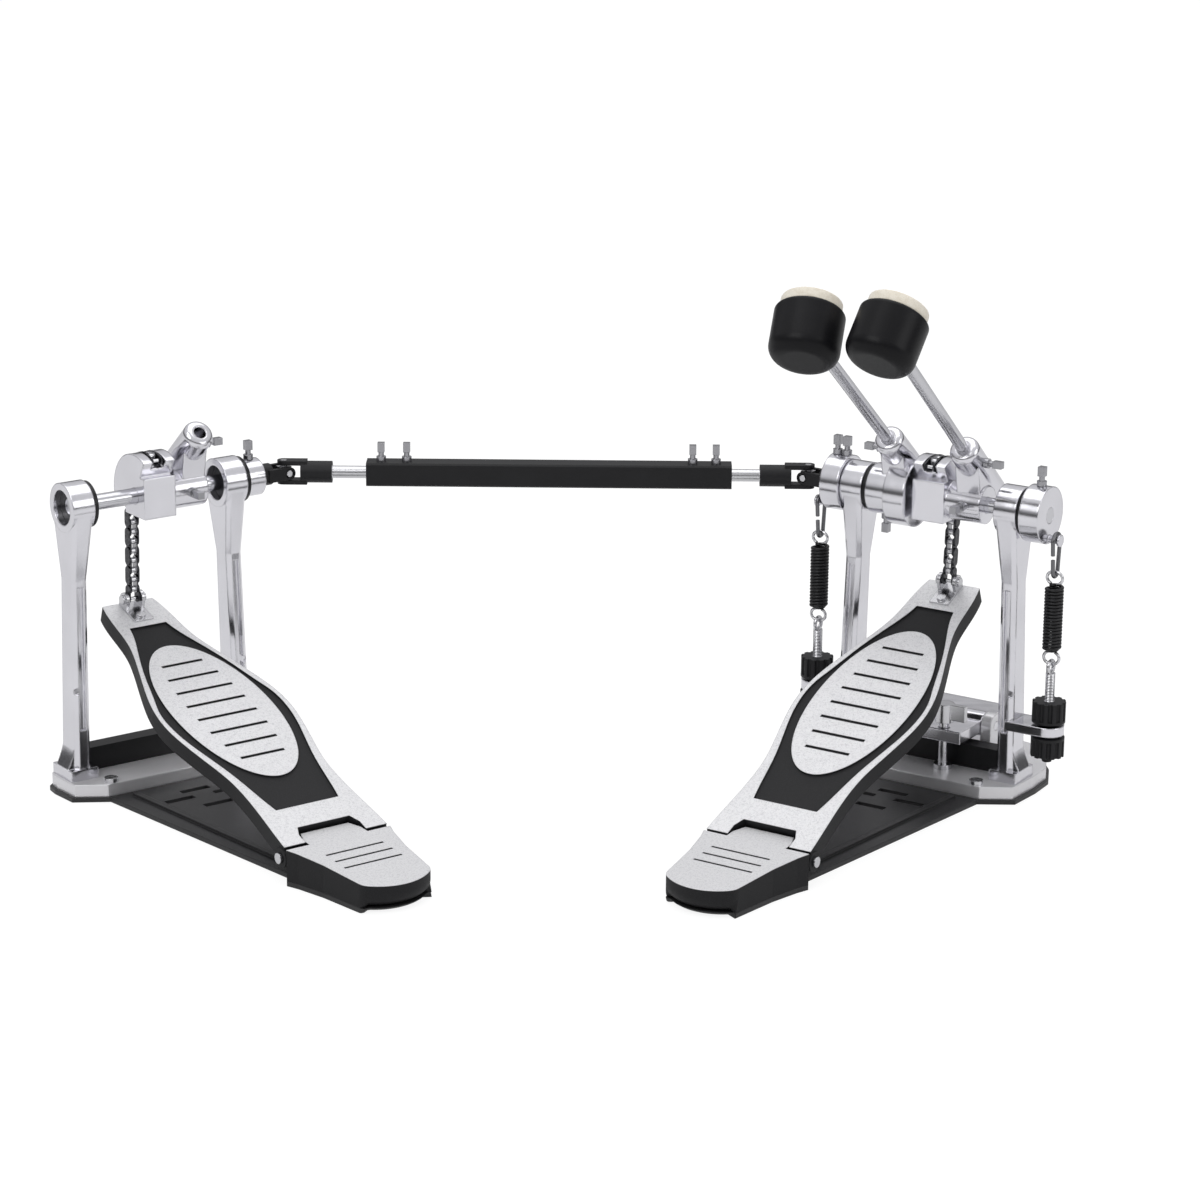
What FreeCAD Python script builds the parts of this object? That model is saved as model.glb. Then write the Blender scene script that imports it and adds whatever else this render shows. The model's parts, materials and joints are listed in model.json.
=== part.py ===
"""Double bass drum pedal: two chain-driven pedals joined by a telescopic drive shaft.

Millimetres, +Z up. The origin is on the floor under the middle of the main pedal's axle,
and X runs along the drive shaft, from the slave pedal to the main pedal.
Each pedal is modelled in its own frame: x to the right along the axle, y towards the drum.
"""

import FreeCAD
import Part

import math
import os

Vector = FreeCAD.Vector

# Layout of the two pedals
AXLE_HEIGHT = 185.0
MAIN_TURN_DEG = 32.5
SLAVE_TURN_DEG = 36.5
SHAFT_SPAN = 335.0

# Fits shared by all pieces
RUNNING_CLEARANCE = 0.05
SEAT_CLEARANCE = 0.02
LOOSE_CLEARANCE = 0.3
OPEN_PIVOT_CLEARANCE = 0.6
OVERRUN = 4.0

# Base plate
BASE_BACK = 282.0
MAIN_BASE_FRONT = 74.0
SLAVE_BASE_FRONT = 30.0
BASE_HALF_WIDTH = 72.0
BASE_THICKNESS = 3.0
BASE_OUTLINE_SHARES = (
    (-0.94, 0.30),
    (-0.88, 0.3675),
    (-0.74, 0.398),
    (-0.105, 0.70),
    (-0.06, 0.98),
    (0.12, 1.0),
    (0.40, 0.985),
    (0.64, 0.87),
    (0.88, 0.68),
)
BASE_RIB_WIDTH = 4.0
BASE_RIB_HEIGHT = 1.6
BASE_RIB_SHARES = (-0.69, -0.12)
BASE_RIB_SPREAD_SHARES = (0.2625, 0.49)
BASE_SLOT_LENGTH = 20.0
BASE_SLOT_WIDTH = 5.0
BASE_SLOT_SHARES = ((-0.165, 0.0), (-0.205, 0.236), (-0.205, -0.236), (-0.27, 0.0))

# Cast frame on the front of the base plate
FRAME_THICKNESS = 8.0
FRAME_INSET = 2.0
FRAME_BACK = 28.0
FOOT_SCREW_X = 46.0
FOOT_SCREW_Y = -23.0

# Uprights and their bearing hubs
HUB_X = 54.0
HUB_WIDTH = 15.0
HUB_R = 15.5
NECK_TOP = 2.5
NECK_DROP = 46.0
NECK_INSET = 0.6
POST_FOOT_X = 58.0
POST_WIDTH = 11.0
POST_TOP_DEPTH = 15.0
POST_FOOT_DEPTH = 20.0
POST_CORNER = 2.5
POST_FOOT_HALF_DEPTH = 12.0
POST_FOOT_HEIGHT = 7.0
POST_FOOT_INNER = 9.0
POST_HEEL_REACH = 68.0
POST_HEEL_HEIGHT = 46.0
POST_HEEL_HOLLOW = 2.2
FLUTE_WIDTH = 4.0
FLUTE_DEPTH = 2.2
FLUTE_SHARES = (0.2, 0.78)
POST_HOLE_R = 2.2
POST_HOLE_SHARE = 0.33

# Flanged bearings
BEARING_R = 11.0
BEARING_FLANGE_R = 14.5
BEARING_FLANGE = 3.0
BEARING_RECESS = 5.0

# Cross bar between the uprights
CROSS_BAR_HEIGHT = 15.0
CROSS_BAR_DEPTH = 12.0
CROSS_BAR_Y = 2.0

# Heel and its hinge
HINGE_Y = -210.0
HINGE_Z = 15.5
HINGE_PIN_R = 2.5
HINGE_HEAD_R = 3.3
HINGE_HEAD = 1.6
HEEL_BACK = 290.0
HEEL_SQUARE_BACK = 280.0
HEEL_FRONT = 217.0
HEEL_HALF_WIDTH = 36.0
HEEL_BACK_HEIGHT = 17.0
HEEL_FRONT_HEIGHT = 22.5
HEEL_OUTLINE_SHARES = ((1.0, 0.66), (0.45, 0.79), (0.13, 0.92), (0.0, 1.0))
HEEL_CORNER_R = 9.0
HEEL_RIVET_SHARE = 0.4
TONGUE_HALF_WIDTH = 20.0
TONGUE_TIP_HALF = 16.5
TONGUE_REACH = 9.0
HEEL_GROOVE_WIDTH = 2.0
HEEL_GROOVE_DEPTH = 0.8
HEEL_GROOVE_SHARES = (0.28, 0.44, 0.60)
HEEL_GROOVE_LENGTH_SHARE = 0.55

# Footboard
BOARD_LENGTH = 261.7
BOARD_BACK = 1.4
BOARD_HALF_WIDTH = 43.5
BOARD_TOP = 8.6
BOARD_THICKNESS = 10.5
BOARD_PLATE = 5.0
BOARD_WALL = 4.5
MAIN_SLOPE_DEG = 22.2
SLAVE_SLOPE_DEG = 18.4
BOARD_OUTLINE_SHARES = (
    (0.0, 0.815),
    (0.10, 0.775),
    (0.19, 0.747),
    (0.27, 0.77),
    (0.34, 0.85),
    (0.415, 0.943),
    (0.49, 1.0),
    (0.57, 0.965),
    (0.64, 0.86),
    (0.71, 0.725),
    (0.775, 0.60),
    (0.83, 0.52),
    (0.92, 0.475),
    (1.0, 0.41),
)
BOARD_EAR_R = 6.3
BOARD_EAR_OUT = 36.0
BOARD_NOTCH_HALF = 21.0
BOARD_NOTCH_TIP_HALF = 18.0
BOARD_NOTCH_LENGTH = 13.2
RECESS_DEPTH = 1.4
RECESS_SHARES = (
    (0.128, 0.50),
    (0.18, 0.56),
    (0.275, 0.655),
    (0.36, 0.78),
    (0.42, 0.87),
    (0.49, 0.93),
    (0.565, 0.90),
    (0.60, 0.84),
    (0.68, 0.71),
    (0.78, 0.515),
    (0.86, 0.345),
    (0.895, 0.30),
)
OVAL_START_SHARE = 0.245
OVAL_END_SHARE = 0.80
OVAL_HALF_WIDTH = 33.5
GRIP_WIDTH = 2.4
GRIP_DEPTH = 0.9
GRIP_SHARES = (0.16, 0.26, 0.36, 0.46, 0.56, 0.66, 0.76, 0.86)
GRIP_REACH_SHARE = 0.62

# Chain
CHAIN_PITCH = 6.35
CHAIN_PLATE = 0.9
CHAIN_PLATE_R = 2.8
CHAIN_INNER_HALF = 1.7
CHAIN_ROLLER_R = 1.9
CHAIN_PIN_R = 1.1
CHAIN_SIDE_GAP = 0.15
LIFT_LINKS = 3
WRAP_LINKS = 5

# Chain anchor on the toe of the footboard
ANCHOR_BACK = 5.5
ANCHOR_RISE = 6.5
ANCHOR_WALL = 2.2
ANCHOR_WALL_R = 4.6
ANCHOR_GAP_HALF = 4.4
ANCHOR_FLOOR = 1.2
ANCHOR_LENGTH = 17.0
ANCHOR_SCREW_R = 3.0
ANCHOR_SCREW_HEAD = 1.6

# Axle, cam and beater holders
AXLE_R = 5.0
CAM_PITCH_R = 24.0
CAM_R = 26.5
CAM_HALF_WIDTH = 11.0
CAM_GROOVE_HALF = 4.6
CAM_GROOVE_R = 20.8
CAM_FROM_DEG = -22.0
CAM_TO_DEG = 120.0
CAM_WEDGES = 4
CAM_BLOCK_BACK = 13.0
CAM_BLOCK_FRONT = 12.0
CAM_BLOCK_HALF_HEIGHT = 13.0
CAM_BOSS_R = 12.0
CAM_BOSS_END = 35.0
BEATER_X = 26.0
BEATER_TILT_DEG = 48.8
SLAVE_BEATER_LAG_DEG = 1.7
SLAVE_HEAD_TWIST_DEG = 12.0
BEATER_OFFSET = 17.0
HOLDER_R = 9.6
HOLDER_EDGE = 4.0
HOLDER_FROM = -13.0
HOLDER_TO = 40.0
HOLDER_WEB_HALF = 8.0
HOLDER_WEB_SHARE = 0.85
HOLDER_BOLT_SHARE = 0.6

# Beaters
BEATER_ROD_R = 3.95
BEATER_ROD_FROM = -26.0
BEATER_REACH = 175.0
BEATER_HEAD_R = 21.5
BEATER_HEAD_LENGTH = 34.0
BEATER_HEAD_EDGE = 9.0
BEATER_SHOULDER = 2.5
BEATER_FELT_LENGTH = 8.0
BEATER_FELT_R = 19.0
BEATER_FELT_EDGE = 2.5

# Drum-key bolts
KEY_SHANK_R = 2.2
KEY_SHANK_DEPTH = 6.0
KEY_COLLAR_R = 3.1
KEY_COLLAR = 3.0
KEY_NECK_R = 1.8
KEY_NECK = 3.0
KEY_HEAD_HALF = 2.2
KEY_HEAD = 6.0

# Spring cams and slave drive hub on the main pedal
SPRING_CAM_R = 18.0
SPRING_CAM_WIDTH = 13.0
SPRING_CAM_SIDE_GAP = 0.4
SPRING_PIN_DROP = 15.0
SPRING_PIN_R = 2.5
SPRING_PIN_HEAD_R = 3.8
SPRING_PIN_HEAD = 1.5
DRIVE_HUB_R = 16.0
DRIVE_HUB_LENGTH = 15.0
DRIVE_DISC_R = 21.0
DRIVE_DISC_END = 13.5
PILOT_DEPTH = 22.0
STUB_SEAT = 6.0

# Return springs
SPRING_X = 83.0
HOOK_WIRE_R = 1.3
HOOK_HALF_WIDTH = 5.0
HOOK_LOW_R = 3.2
HOOK_LENGTH = 19.0
HOOK_OPEN_SHARES = (0.45, 0.6)
COIL_R = 5.1
COIL_WIRE_R = 1.0
COIL_PITCH = 2.5
LOOP_R = 4.2
LOOP_RISE = 1.5
GAP_STEP_SHARE = 0.6
EYE_R = 3.9
EYE_WIRE_R = 1.3
ADJUSTER_ROD_R = 3.0
ADJUSTER_R = 10.5
ADJUSTER_STEM = 22.1
ADJUSTER_COLLAR = 15.0
ADJUSTER_NUT = 14.0
ADJUSTER_GRIP_R = 1.4
ADJUSTER_GRIPS = 12
ADJUSTER_RELIEF = 1.6
ADJUSTER_TAIL = 4.0
EAR_Z = 48.0
EAR_THICKNESS = 6.0
EAR_HALF_DEPTH = 10.0
EAR_HOLE_R = 4.6

# Hoop clamp on the main pedal
JAW_HALF_WIDTH = 28.0
JAW_PIVOT_Y = 24.0
JAW_PIVOT_Z = 34.0
JAW_PIVOT_R = 3.0
JAW_THICKNESS = 8.0
JAW_TAIL = 36.0
JAW_NOSE = 40.0
JAW_LIP_DROP = 9.0
JAW_LIP = 8.0
LUG_WIDTH = 7.0
LUG_HALF_DEPTH = 8.0
CLAMP_SCREW_X = 14.0
CLAMP_SCREW_Y = -7.0
CLAMP_SCREW_R = 3.2
CLAMP_WING_HALF = 15.0
CLAMP_WING_HEIGHT = 12.0
CLAMP_WING_THICKNESS = 4.0
CLAMP_HEAD_R = 6.0
CLAMP_HEAD_GAP = 4.0
CLAMP_PAD_R = 6.0
CLAMP_PAD = 3.0

# Universal joints and drive shaft
FORK_SLOT_HALF = 4.8
FORK_ARM = 2.9
FORK_ARM_HALF_WIDTH = 4.1
FORK_REACH = 11.0
FORK_BASE = 4.0
FORK_NECK_R = 7.0
SHAFT_FORK_LENGTH = 31.0
STUB_FORK_LENGTH = 17.7
SLAVE_FORK_LENGTH = 20.1
CROSS_PIN_R = 2.1
CROSS_BODY_HALF = 3.6
YOKE_COLLAR_R = 12.0
YOKE_COLLAR_LENGTH = 12.0
SHAFT_ROD_R = 4.0
TUBE_SIDE = 15.2
TUBE_SLAVE_GAP = 53.0
TUBE_MAIN_GAP = 49.0
TUBE_EDGE = 1.2
ROD_END_GAP = 43.0
TUBE_SCREW_SHARES = (0.04, 0.11, 0.893, 0.957)

# Fastener screws of the frame
SCREW_R = 2.3
SCREW_HEAD_R = 4.4
SCREW_HEAD = 2.6
SCREW_SLOT = 1.2

X_AXIS = Vector(1, 0, 0)
Y_AXIS = Vector(0, 1, 0)
Z_AXIS = Vector(0, 0, 1)
FLOOR_ORIGIN = Vector(0, 0, 0)
FULL_TURN_DEG = 360.0
QUARTER_TURN_DEG = 90.0


def block(x_range, y_range, z_range):
    """A box between two limits on each axis."""
    low = Vector(x_range[0], y_range[0], z_range[0])
    high = Vector(x_range[1], y_range[1], z_range[1])
    size = high - low
    return Part.makeBox(size.x, size.y, size.z, low)


def rod(start, end, radius):
    """A round bar between two points."""
    along = end - start
    return Part.makeCylinder(radius, along.Length, start, along)


def taper(start, end, start_radius, end_radius):
    """A round bar whose radius changes evenly between two points."""
    along = end - start
    return Part.makeCone(start_radius, end_radius, along.Length, start, along)


def tube(start, end, outer, inner):
    """A round tube between two points."""
    return rod(start, end, outer).cut(rod(start, end, inner))


def join(*shapes):
    """One solid from shapes that touch."""
    return shapes[0].multiFuse(list(shapes[1:])).removeSplitter()


def polygon(points):
    """A closed wire of straight edges."""
    return Part.makePolygon(points + [points[0]])


def prism(points, rise):
    """A straight-sided solid on a polygon."""
    return Part.Face(polygon(points)).extrude(rise)


def mirrored(shape):
    """The same piece on the other side of the pedal."""
    return shape.mirror(FLOOR_ORIGIN, X_AXIS)


def nosed_face(points, nose):
    """A flat face between right-hand points and their mirror image, closed by an arc at the last point."""
    left = [Vector(-p.x, p.y, p.z) for p in reversed(points)]
    edges = [Part.LineSegment(a, b).toShape() for a, b in zip(points, points[1:])]
    edges.append(Part.Arc(points[-1], nose, left[0]).toShape())
    edges += [Part.LineSegment(a, b).toShape() for a, b in zip(left, left[1:])]
    edges.append(Part.LineSegment(left[-1], points[0]).toShape())
    return Part.Face(Part.Wire(edges))


def curved_face(points, height):
    """A flat face between a smooth right-hand side and its mirror image."""
    right = [Vector(p.x, p.y, height) for p in points]
    left = [Vector(-p.x, p.y, height) for p in reversed(points)]
    sides = []
    for side in (right, left):
        curve = Part.BSplineCurve()
        curve.interpolate(side)
        sides.append(curve.toShape())
    edges = [sides[0]]
    if right[-1].x > 0:
        edges.append(Part.LineSegment(right[-1], left[0]).toShape())
    edges.append(sides[1])
    if right[0].x > 0:
        edges.append(Part.LineSegment(left[-1], right[0]).toShape())
    return Part.Face(Part.Wire(edges))


def axle_point(x, y=0.0, z=0.0):
    """A point given from the middle of the axle."""
    return Vector(x, y, AXLE_HEIGHT + z)


FRAME_TOP = BASE_THICKNESS + FRAME_THICKNESS
HUB_INNER = HUB_X - HUB_WIDTH / 2
HUB_OUTER = HUB_X + HUB_WIDTH / 2
RIGHT_CAM_X = HUB_OUTER + BEARING_FLANGE + SPRING_CAM_SIDE_GAP
LEFT_CAM_X = HUB_OUTER + SPRING_CAM_SIDE_GAP
STUB_FORK_X = LEFT_CAM_X + SPRING_CAM_WIDTH + SPRING_CAM_SIDE_GAP
DRIVE_HUB_X = HUB_INNER - BEARING_FLANGE - SPRING_CAM_SIDE_GAP
SLAVE_COLLAR_X = HUB_OUTER + BEARING_FLANGE + SPRING_CAM_SIDE_GAP
SLAVE_YOKE_X = SLAVE_COLLAR_X + YOKE_COLLAR_LENGTH
MAIN_JOINT_REACH = STUB_FORK_X + STUB_FORK_LENGTH
SLAVE_JOINT_REACH = SLAVE_YOKE_X + SLAVE_FORK_LENGTH
MAIN_PLACE = FreeCAD.Placement(FLOOR_ORIGIN, FreeCAD.Rotation(Z_AXIS, -MAIN_TURN_DEG))
MAIN_JOINT = MAIN_PLACE.multVec(axle_point(-MAIN_JOINT_REACH))
SLAVE_JOINT = MAIN_JOINT - X_AXIS * SHAFT_SPAN
SLAVE_ROTATION = FreeCAD.Rotation(Z_AXIS, SLAVE_TURN_DEG)
SLAVE_ORIGIN = SLAVE_JOINT - SLAVE_ROTATION.multVec(axle_point(SLAVE_JOINT_REACH))
SLAVE_PLACE = FreeCAD.Placement(SLAVE_ORIGIN, SLAVE_ROTATION)


def base_half_outline(inset, base_front):
    """Right-hand corners of the base plate, drawn in from its edge."""
    points = []
    for along_share, width_share in BASE_OUTLINE_SHARES:
        reach = base_front if along_share > 0 else BASE_BACK
        points.append(Vector(width_share * BASE_HALF_WIDTH - inset, along_share * reach, 0))
    return points


def base_body(inset, base_front, low, thickness):
    """A plate of the base's outline."""
    face = nosed_face(base_half_outline(inset, base_front), Vector(0, base_front - inset, 0))
    face.translate(Vector(0, 0, low))
    return face.extrude(Vector(0, 0, thickness))


def base_rib(side):
    """One raised rib along the base plate."""
    back, front = (share * BASE_BACK for share in BASE_RIB_SHARES)
    near, far = (side * share * BASE_HALF_WIDTH for share in BASE_RIB_SPREAD_SHARES)
    half = BASE_RIB_WIDTH / 2
    corners = [
        Vector(near - half, back, 0),
        Vector(near + half, back, 0),
        Vector(far + half, front, 0),
        Vector(far - half, front, 0),
    ]
    return prism(corners, Vector(0, 0, BASE_THICKNESS + BASE_RIB_HEIGHT))


def frame_screw_places():
    """Feet of the screws that hold the cast frame to the base plate."""
    return [Vector(side * FOOT_SCREW_X, FOOT_SCREW_Y, 0) for side in (-1, 1)]


def heel_rivet_places():
    """Feet of the rivets that hold the heel to the base plate."""
    middle = -(HEEL_FRONT + HEEL_SQUARE_BACK) / 2
    return [Vector(side * HEEL_HALF_WIDTH * HEEL_RIVET_SHARE, middle, 0) for side in (-1, 1)]


def shank_hole(foot, top):
    """The hole for a fastener that stands on the floor side of the base plate."""
    return rod(foot - Z_AXIS * OVERRUN, foot + Z_AXIS * top, SCREW_R + SEAT_CLEARANCE)


def base_plate(base_front):
    """Steel floor plate with a foot of the heel's outline, two ribs and slots."""
    keep = block((-HEEL_HALF_WIDTH, HEEL_HALF_WIDTH), (-HEEL_BACK, -HEEL_FRONT), (0, BASE_THICKNESS))
    foot = heel_block(0).common(keep)
    plate = join(base_body(0, base_front, 0, BASE_THICKNESS), foot, base_rib(-1), base_rib(1))
    for along_share, across_share in BASE_SLOT_SHARES:
        x = across_share * BASE_HALF_WIDTH
        y = along_share * BASE_BACK
        half_length = BASE_SLOT_LENGTH / 2
        half_width = BASE_SLOT_WIDTH / 2
        slot = block(
            (x - half_length, x + half_length),
            (y - half_width, y + half_width),
            (-OVERRUN, BASE_THICKNESS + OVERRUN),
        )
        plate = plate.cut(slot)
    for foot in frame_screw_places() + heel_rivet_places():
        plate = plate.cut(shank_hole(foot, FRAME_TOP))
    return plate


def frame_base(base_front, with_lugs):
    """Cast frame on the front of the base plate, with lugs for the hoop clamp where asked."""
    keep = block(
        (-BASE_HALF_WIDTH, BASE_HALF_WIDTH),
        (-FRAME_BACK, base_front),
        (0, FRAME_TOP),
    )
    body = base_body(FRAME_INSET, base_front, BASE_THICKNESS, FRAME_THICKNESS).common(keep)
    for foot in frame_screw_places():
        body = body.cut(shank_hole(foot, FRAME_TOP + OVERRUN))
    if with_lugs:
        body = join(body, jaw_lug(), mirrored(jaw_lug()))
    return body


def post_section(x, z, width, depth):
    """Outline of an upright at one height, with cut corners."""
    half_w = width / 2
    half_d = depth / 2
    corners = []
    for sx, sy, first in ((1, -1, "y"), (1, 1, "x"), (-1, 1, "y"), (-1, -1, "x")):
        on_x = Vector(x + sx * half_w, sy * (half_d - POST_CORNER), z)
        on_y = Vector(x + sx * (half_w - POST_CORNER), sy * half_d, z)
        corners += [on_y, on_x] if first == "y" else [on_x, on_y]
    return polygon(corners)


def post_x(z):
    """Middle of an upright at one height."""
    share = (AXLE_HEIGHT - z) / (AXLE_HEIGHT - FRAME_TOP)
    return HUB_X + share * (POST_FOOT_X - HUB_X)


def post_depth(z):
    """Depth of an upright at one height."""
    share = (AXLE_HEIGHT - z) / (AXLE_HEIGHT - FRAME_TOP)
    return POST_TOP_DEPTH + share * (POST_FOOT_DEPTH - POST_TOP_DEPTH)


def flute(side):
    """Cutter for the long groove in one face of an upright."""
    wires = []
    for share in FLUTE_SHARES:
        z = FRAME_TOP + share * (AXLE_HEIGHT - HUB_R - FRAME_TOP)
        x = post_x(z)
        face = side * post_depth(z) / 2
        inner = face - side * FLUTE_DEPTH
        outer = face + side * OVERRUN
        half = FLUTE_WIDTH / 2
        corners = [
            Vector(x - half, inner, z),
            Vector(x + half, inner, z),
            Vector(x + half, outer, z),
            Vector(x - half, outer, z),
        ]
        wires.append(polygon(corners))
    return Part.makeLoft(wires, True, True)


def spring_ear():
    """Flat ear on the outside of an upright, with the hole for a spring adjuster."""
    low = EAR_Z - EAR_THICKNESS / 2
    high = EAR_Z + EAR_THICKNESS / 2
    arm = block((post_x(EAR_Z), SPRING_X), (-EAR_HALF_DEPTH, EAR_HALF_DEPTH), (low, high))
    tip = rod(Vector(SPRING_X, 0, low), Vector(SPRING_X, 0, high), EAR_HALF_DEPTH)
    hole = rod(Vector(SPRING_X, 0, low - OVERRUN), Vector(SPRING_X, 0, high + OVERRUN), EAR_HOLE_R)
    return join(arm, tip).cut(hole)


def foot_flare():
    """Hollow-curved flare that runs from the outer side of a post down to its foot."""
    half_depth = POST_FOOT_DEPTH / 2 - POST_CORNER
    low_z = FRAME_TOP + POST_FOOT_HEIGHT
    high_z = FRAME_TOP + POST_HEEL_HEIGHT
    inner_x = post_x(high_z) + POST_WIDTH / 2 - POST_CORNER
    low = Vector(POST_HEEL_REACH, -half_depth, low_z)
    high = Vector(inner_x, -half_depth, high_z)
    middle = (low + high) / 2 - Vector(POST_HEEL_HOLLOW, 0, POST_HEEL_HOLLOW)
    inner_high = Vector(POST_FOOT_X, -half_depth, high_z)
    inner_low = Vector(POST_FOOT_X, -half_depth, low_z)
    edges = [
        Part.Arc(low, middle, high).toShape(),
        Part.makeLine(high, inner_high),
        Part.makeLine(inner_high, inner_low),
        Part.makeLine(inner_low, low),
    ]
    return Part.Face(Part.Wire(edges)).extrude(Vector(0, 2 * half_depth, 0))


def upright(with_ear):
    """Right-hand upright: bearing hub on a tapering neck, fluted post and flared foot."""
    start = axle_point(HUB_X - HUB_WIDTH / 2)
    end = axle_point(HUB_X + HUB_WIDTH / 2)
    hub = rod(start, end, HUB_R)
    heights = (FRAME_TOP, AXLE_HEIGHT - NECK_DROP)
    sections = [post_section(post_x(z), z, POST_WIDTH, post_depth(z)) for z in heights]
    neck_top = AXLE_HEIGHT - NECK_TOP
    sections.append(post_section(HUB_X, neck_top, HUB_WIDTH - NECK_INSET, 2 * HUB_R - NECK_INSET))
    post = Part.makeLoft(sections, True, True).cut(flute(-1)).cut(flute(1))
    foot = block(
        (POST_FOOT_X - POST_FOOT_INNER, POST_HEEL_REACH),
        (-POST_FOOT_HALF_DEPTH, POST_FOOT_HALF_DEPTH),
        (FRAME_TOP, FRAME_TOP + POST_FOOT_HEIGHT),
    )
    pieces = [hub, post, foot, foot_flare()]
    if with_ear:
        pieces.append(spring_ear())
    body = join(*pieces)
    reach = Vector(OVERRUN, 0, 0)
    body = body.cut(rod(start - reach, end + reach, BEARING_R + SEAT_CLEARANCE))
    hole_z = FRAME_TOP + POST_HOLE_SHARE * (AXLE_HEIGHT - FRAME_TOP)
    hole_y = post_depth(hole_z) / 2
    hole_x = post_x(hole_z) + POST_WIDTH / 4
    hole = rod(
        Vector(hole_x, -hole_y - OVERRUN, hole_z),
        Vector(hole_x, -hole_y + FLUTE_DEPTH, hole_z),
        POST_HOLE_R,
    )
    return body.cut(hole)


def bearing(flange_outside):
    """Right-hand flanged bearing, its flange on the outer or the inner face of the hub."""
    inner = HUB_X - HUB_WIDTH / 2
    outer = HUB_X + HUB_WIDTH / 2
    if flange_outside:
        body_ends = (inner + BEARING_RECESS, outer)
        flange_ends = (outer, outer + BEARING_FLANGE)
    else:
        body_ends = (inner, outer - BEARING_RECESS)
        flange_ends = (inner - BEARING_FLANGE, inner)
    body = rod(axle_point(body_ends[0]), axle_point(body_ends[1]), BEARING_R)
    flange = rod(axle_point(flange_ends[0]), axle_point(flange_ends[1]), BEARING_FLANGE_R)
    bore = rod(
        axle_point(flange_ends[0] - HUB_WIDTH - OVERRUN),
        axle_point(flange_ends[1] + HUB_WIDTH + OVERRUN),
        AXLE_R + RUNNING_CLEARANCE,
    )
    return join(body, flange).cut(bore)


def cross_bar():
    """Black bar that ties the two uprights together."""
    half = POST_FOOT_X - POST_FOOT_INNER - SEAT_CLEARANCE
    return block(
        (-half, half),
        (CROSS_BAR_Y, CROSS_BAR_Y + CROSS_BAR_DEPTH),
        (FRAME_TOP, FRAME_TOP + CROSS_BAR_HEIGHT),
    )


def heel_top(y):
    """Height of the heel's sloping top."""
    rise = HEEL_FRONT_HEIGHT - HEEL_BACK_HEIGHT
    return HEEL_BACK_HEIGHT + rise * (y + HEEL_BACK) / (HEEL_BACK - HEEL_FRONT)


def is_upright_at(edge, corner):
    """Whether an edge stands on a corner or on its mirror image."""
    on_corner = all(abs(abs(v.X) - corner.x) + abs(v.Y - corner.y) < SEAT_CLEARANCE for v in edge.Vertexes)
    return on_corner and len(edge.Vertexes) == 2


def heel_block(low):
    """An upright block of the heel's outline, with rounded back corners."""
    depth = HEEL_SQUARE_BACK - HEEL_FRONT
    points = []
    for along_share, width_share in reversed(HEEL_OUTLINE_SHARES):
        y = -(HEEL_FRONT + along_share * depth)
        points.append(Vector(width_share * HEEL_HALF_WIDTH, y, low))
    body = nosed_face(points, Vector(0, -HEEL_BACK, low)).extrude(Z_AXIS * HEEL_FRONT_HEIGHT)
    corners = [edge for edge in body.Edges if is_upright_at(edge, points[-1])]
    return body.makeFillet(HEEL_CORNER_R, corners)


def heel():
    """Heel block with a sloping top, straight grooves and a hinge tongue."""
    body = heel_block(BASE_THICKNESS)
    tongue = prism(
        [
            Vector(-TONGUE_HALF_WIDTH, -HEEL_FRONT - OVERRUN, BASE_THICKNESS),
            Vector(TONGUE_HALF_WIDTH, -HEEL_FRONT - OVERRUN, BASE_THICKNESS),
            Vector(TONGUE_HALF_WIDTH, HINGE_Y, BASE_THICKNESS),
            Vector(TONGUE_TIP_HALF, HINGE_Y + TONGUE_REACH, BASE_THICKNESS),
            Vector(-TONGUE_TIP_HALF, HINGE_Y + TONGUE_REACH, BASE_THICKNESS),
            Vector(-TONGUE_HALF_WIDTH, HINGE_Y, BASE_THICKNESS),
        ],
        Z_AXIS * HEEL_FRONT_HEIGHT,
    )
    ends = (-HEEL_BACK - OVERRUN, HINGE_Y + TONGUE_REACH)
    profile = prism(
        [
            Vector(-HEEL_HALF_WIDTH, ends[0], BASE_THICKNESS),
            Vector(-HEEL_HALF_WIDTH, ends[1], BASE_THICKNESS),
            Vector(-HEEL_HALF_WIDTH, ends[1], heel_top(ends[1])),
            Vector(-HEEL_HALF_WIDTH, ends[0], heel_top(ends[0])),
        ],
        X_AXIS * (2 * HEEL_HALF_WIDTH),
    )
    body = join(body, tongue).common(profile)
    half_groove = HEEL_GROOVE_LENGTH_SHARE * HEEL_HALF_WIDTH
    for share in HEEL_GROOVE_SHARES:
        y = -(HEEL_FRONT + share * (HEEL_SQUARE_BACK - HEEL_FRONT))
        groove = block(
            (-half_groove, half_groove),
            (y - HEEL_GROOVE_WIDTH / 2, y + HEEL_GROOVE_WIDTH / 2),
            (heel_top(y) - HEEL_GROOVE_DEPTH, heel_top(y) + OVERRUN),
        )
        body = body.cut(groove)
    for foot in heel_rivet_places():
        body = body.cut(shank_hole(foot, HEEL_BACK_HEIGHT - SCREW_HEAD_R))
    pin_start = Vector(-HEEL_HALF_WIDTH, HINGE_Y, HINGE_Z)
    pin_end = Vector(HEEL_HALF_WIDTH, HINGE_Y, HINGE_Z)
    return body.cut(rod(pin_start, pin_end, HINGE_PIN_R + SEAT_CLEARANCE))


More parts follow.
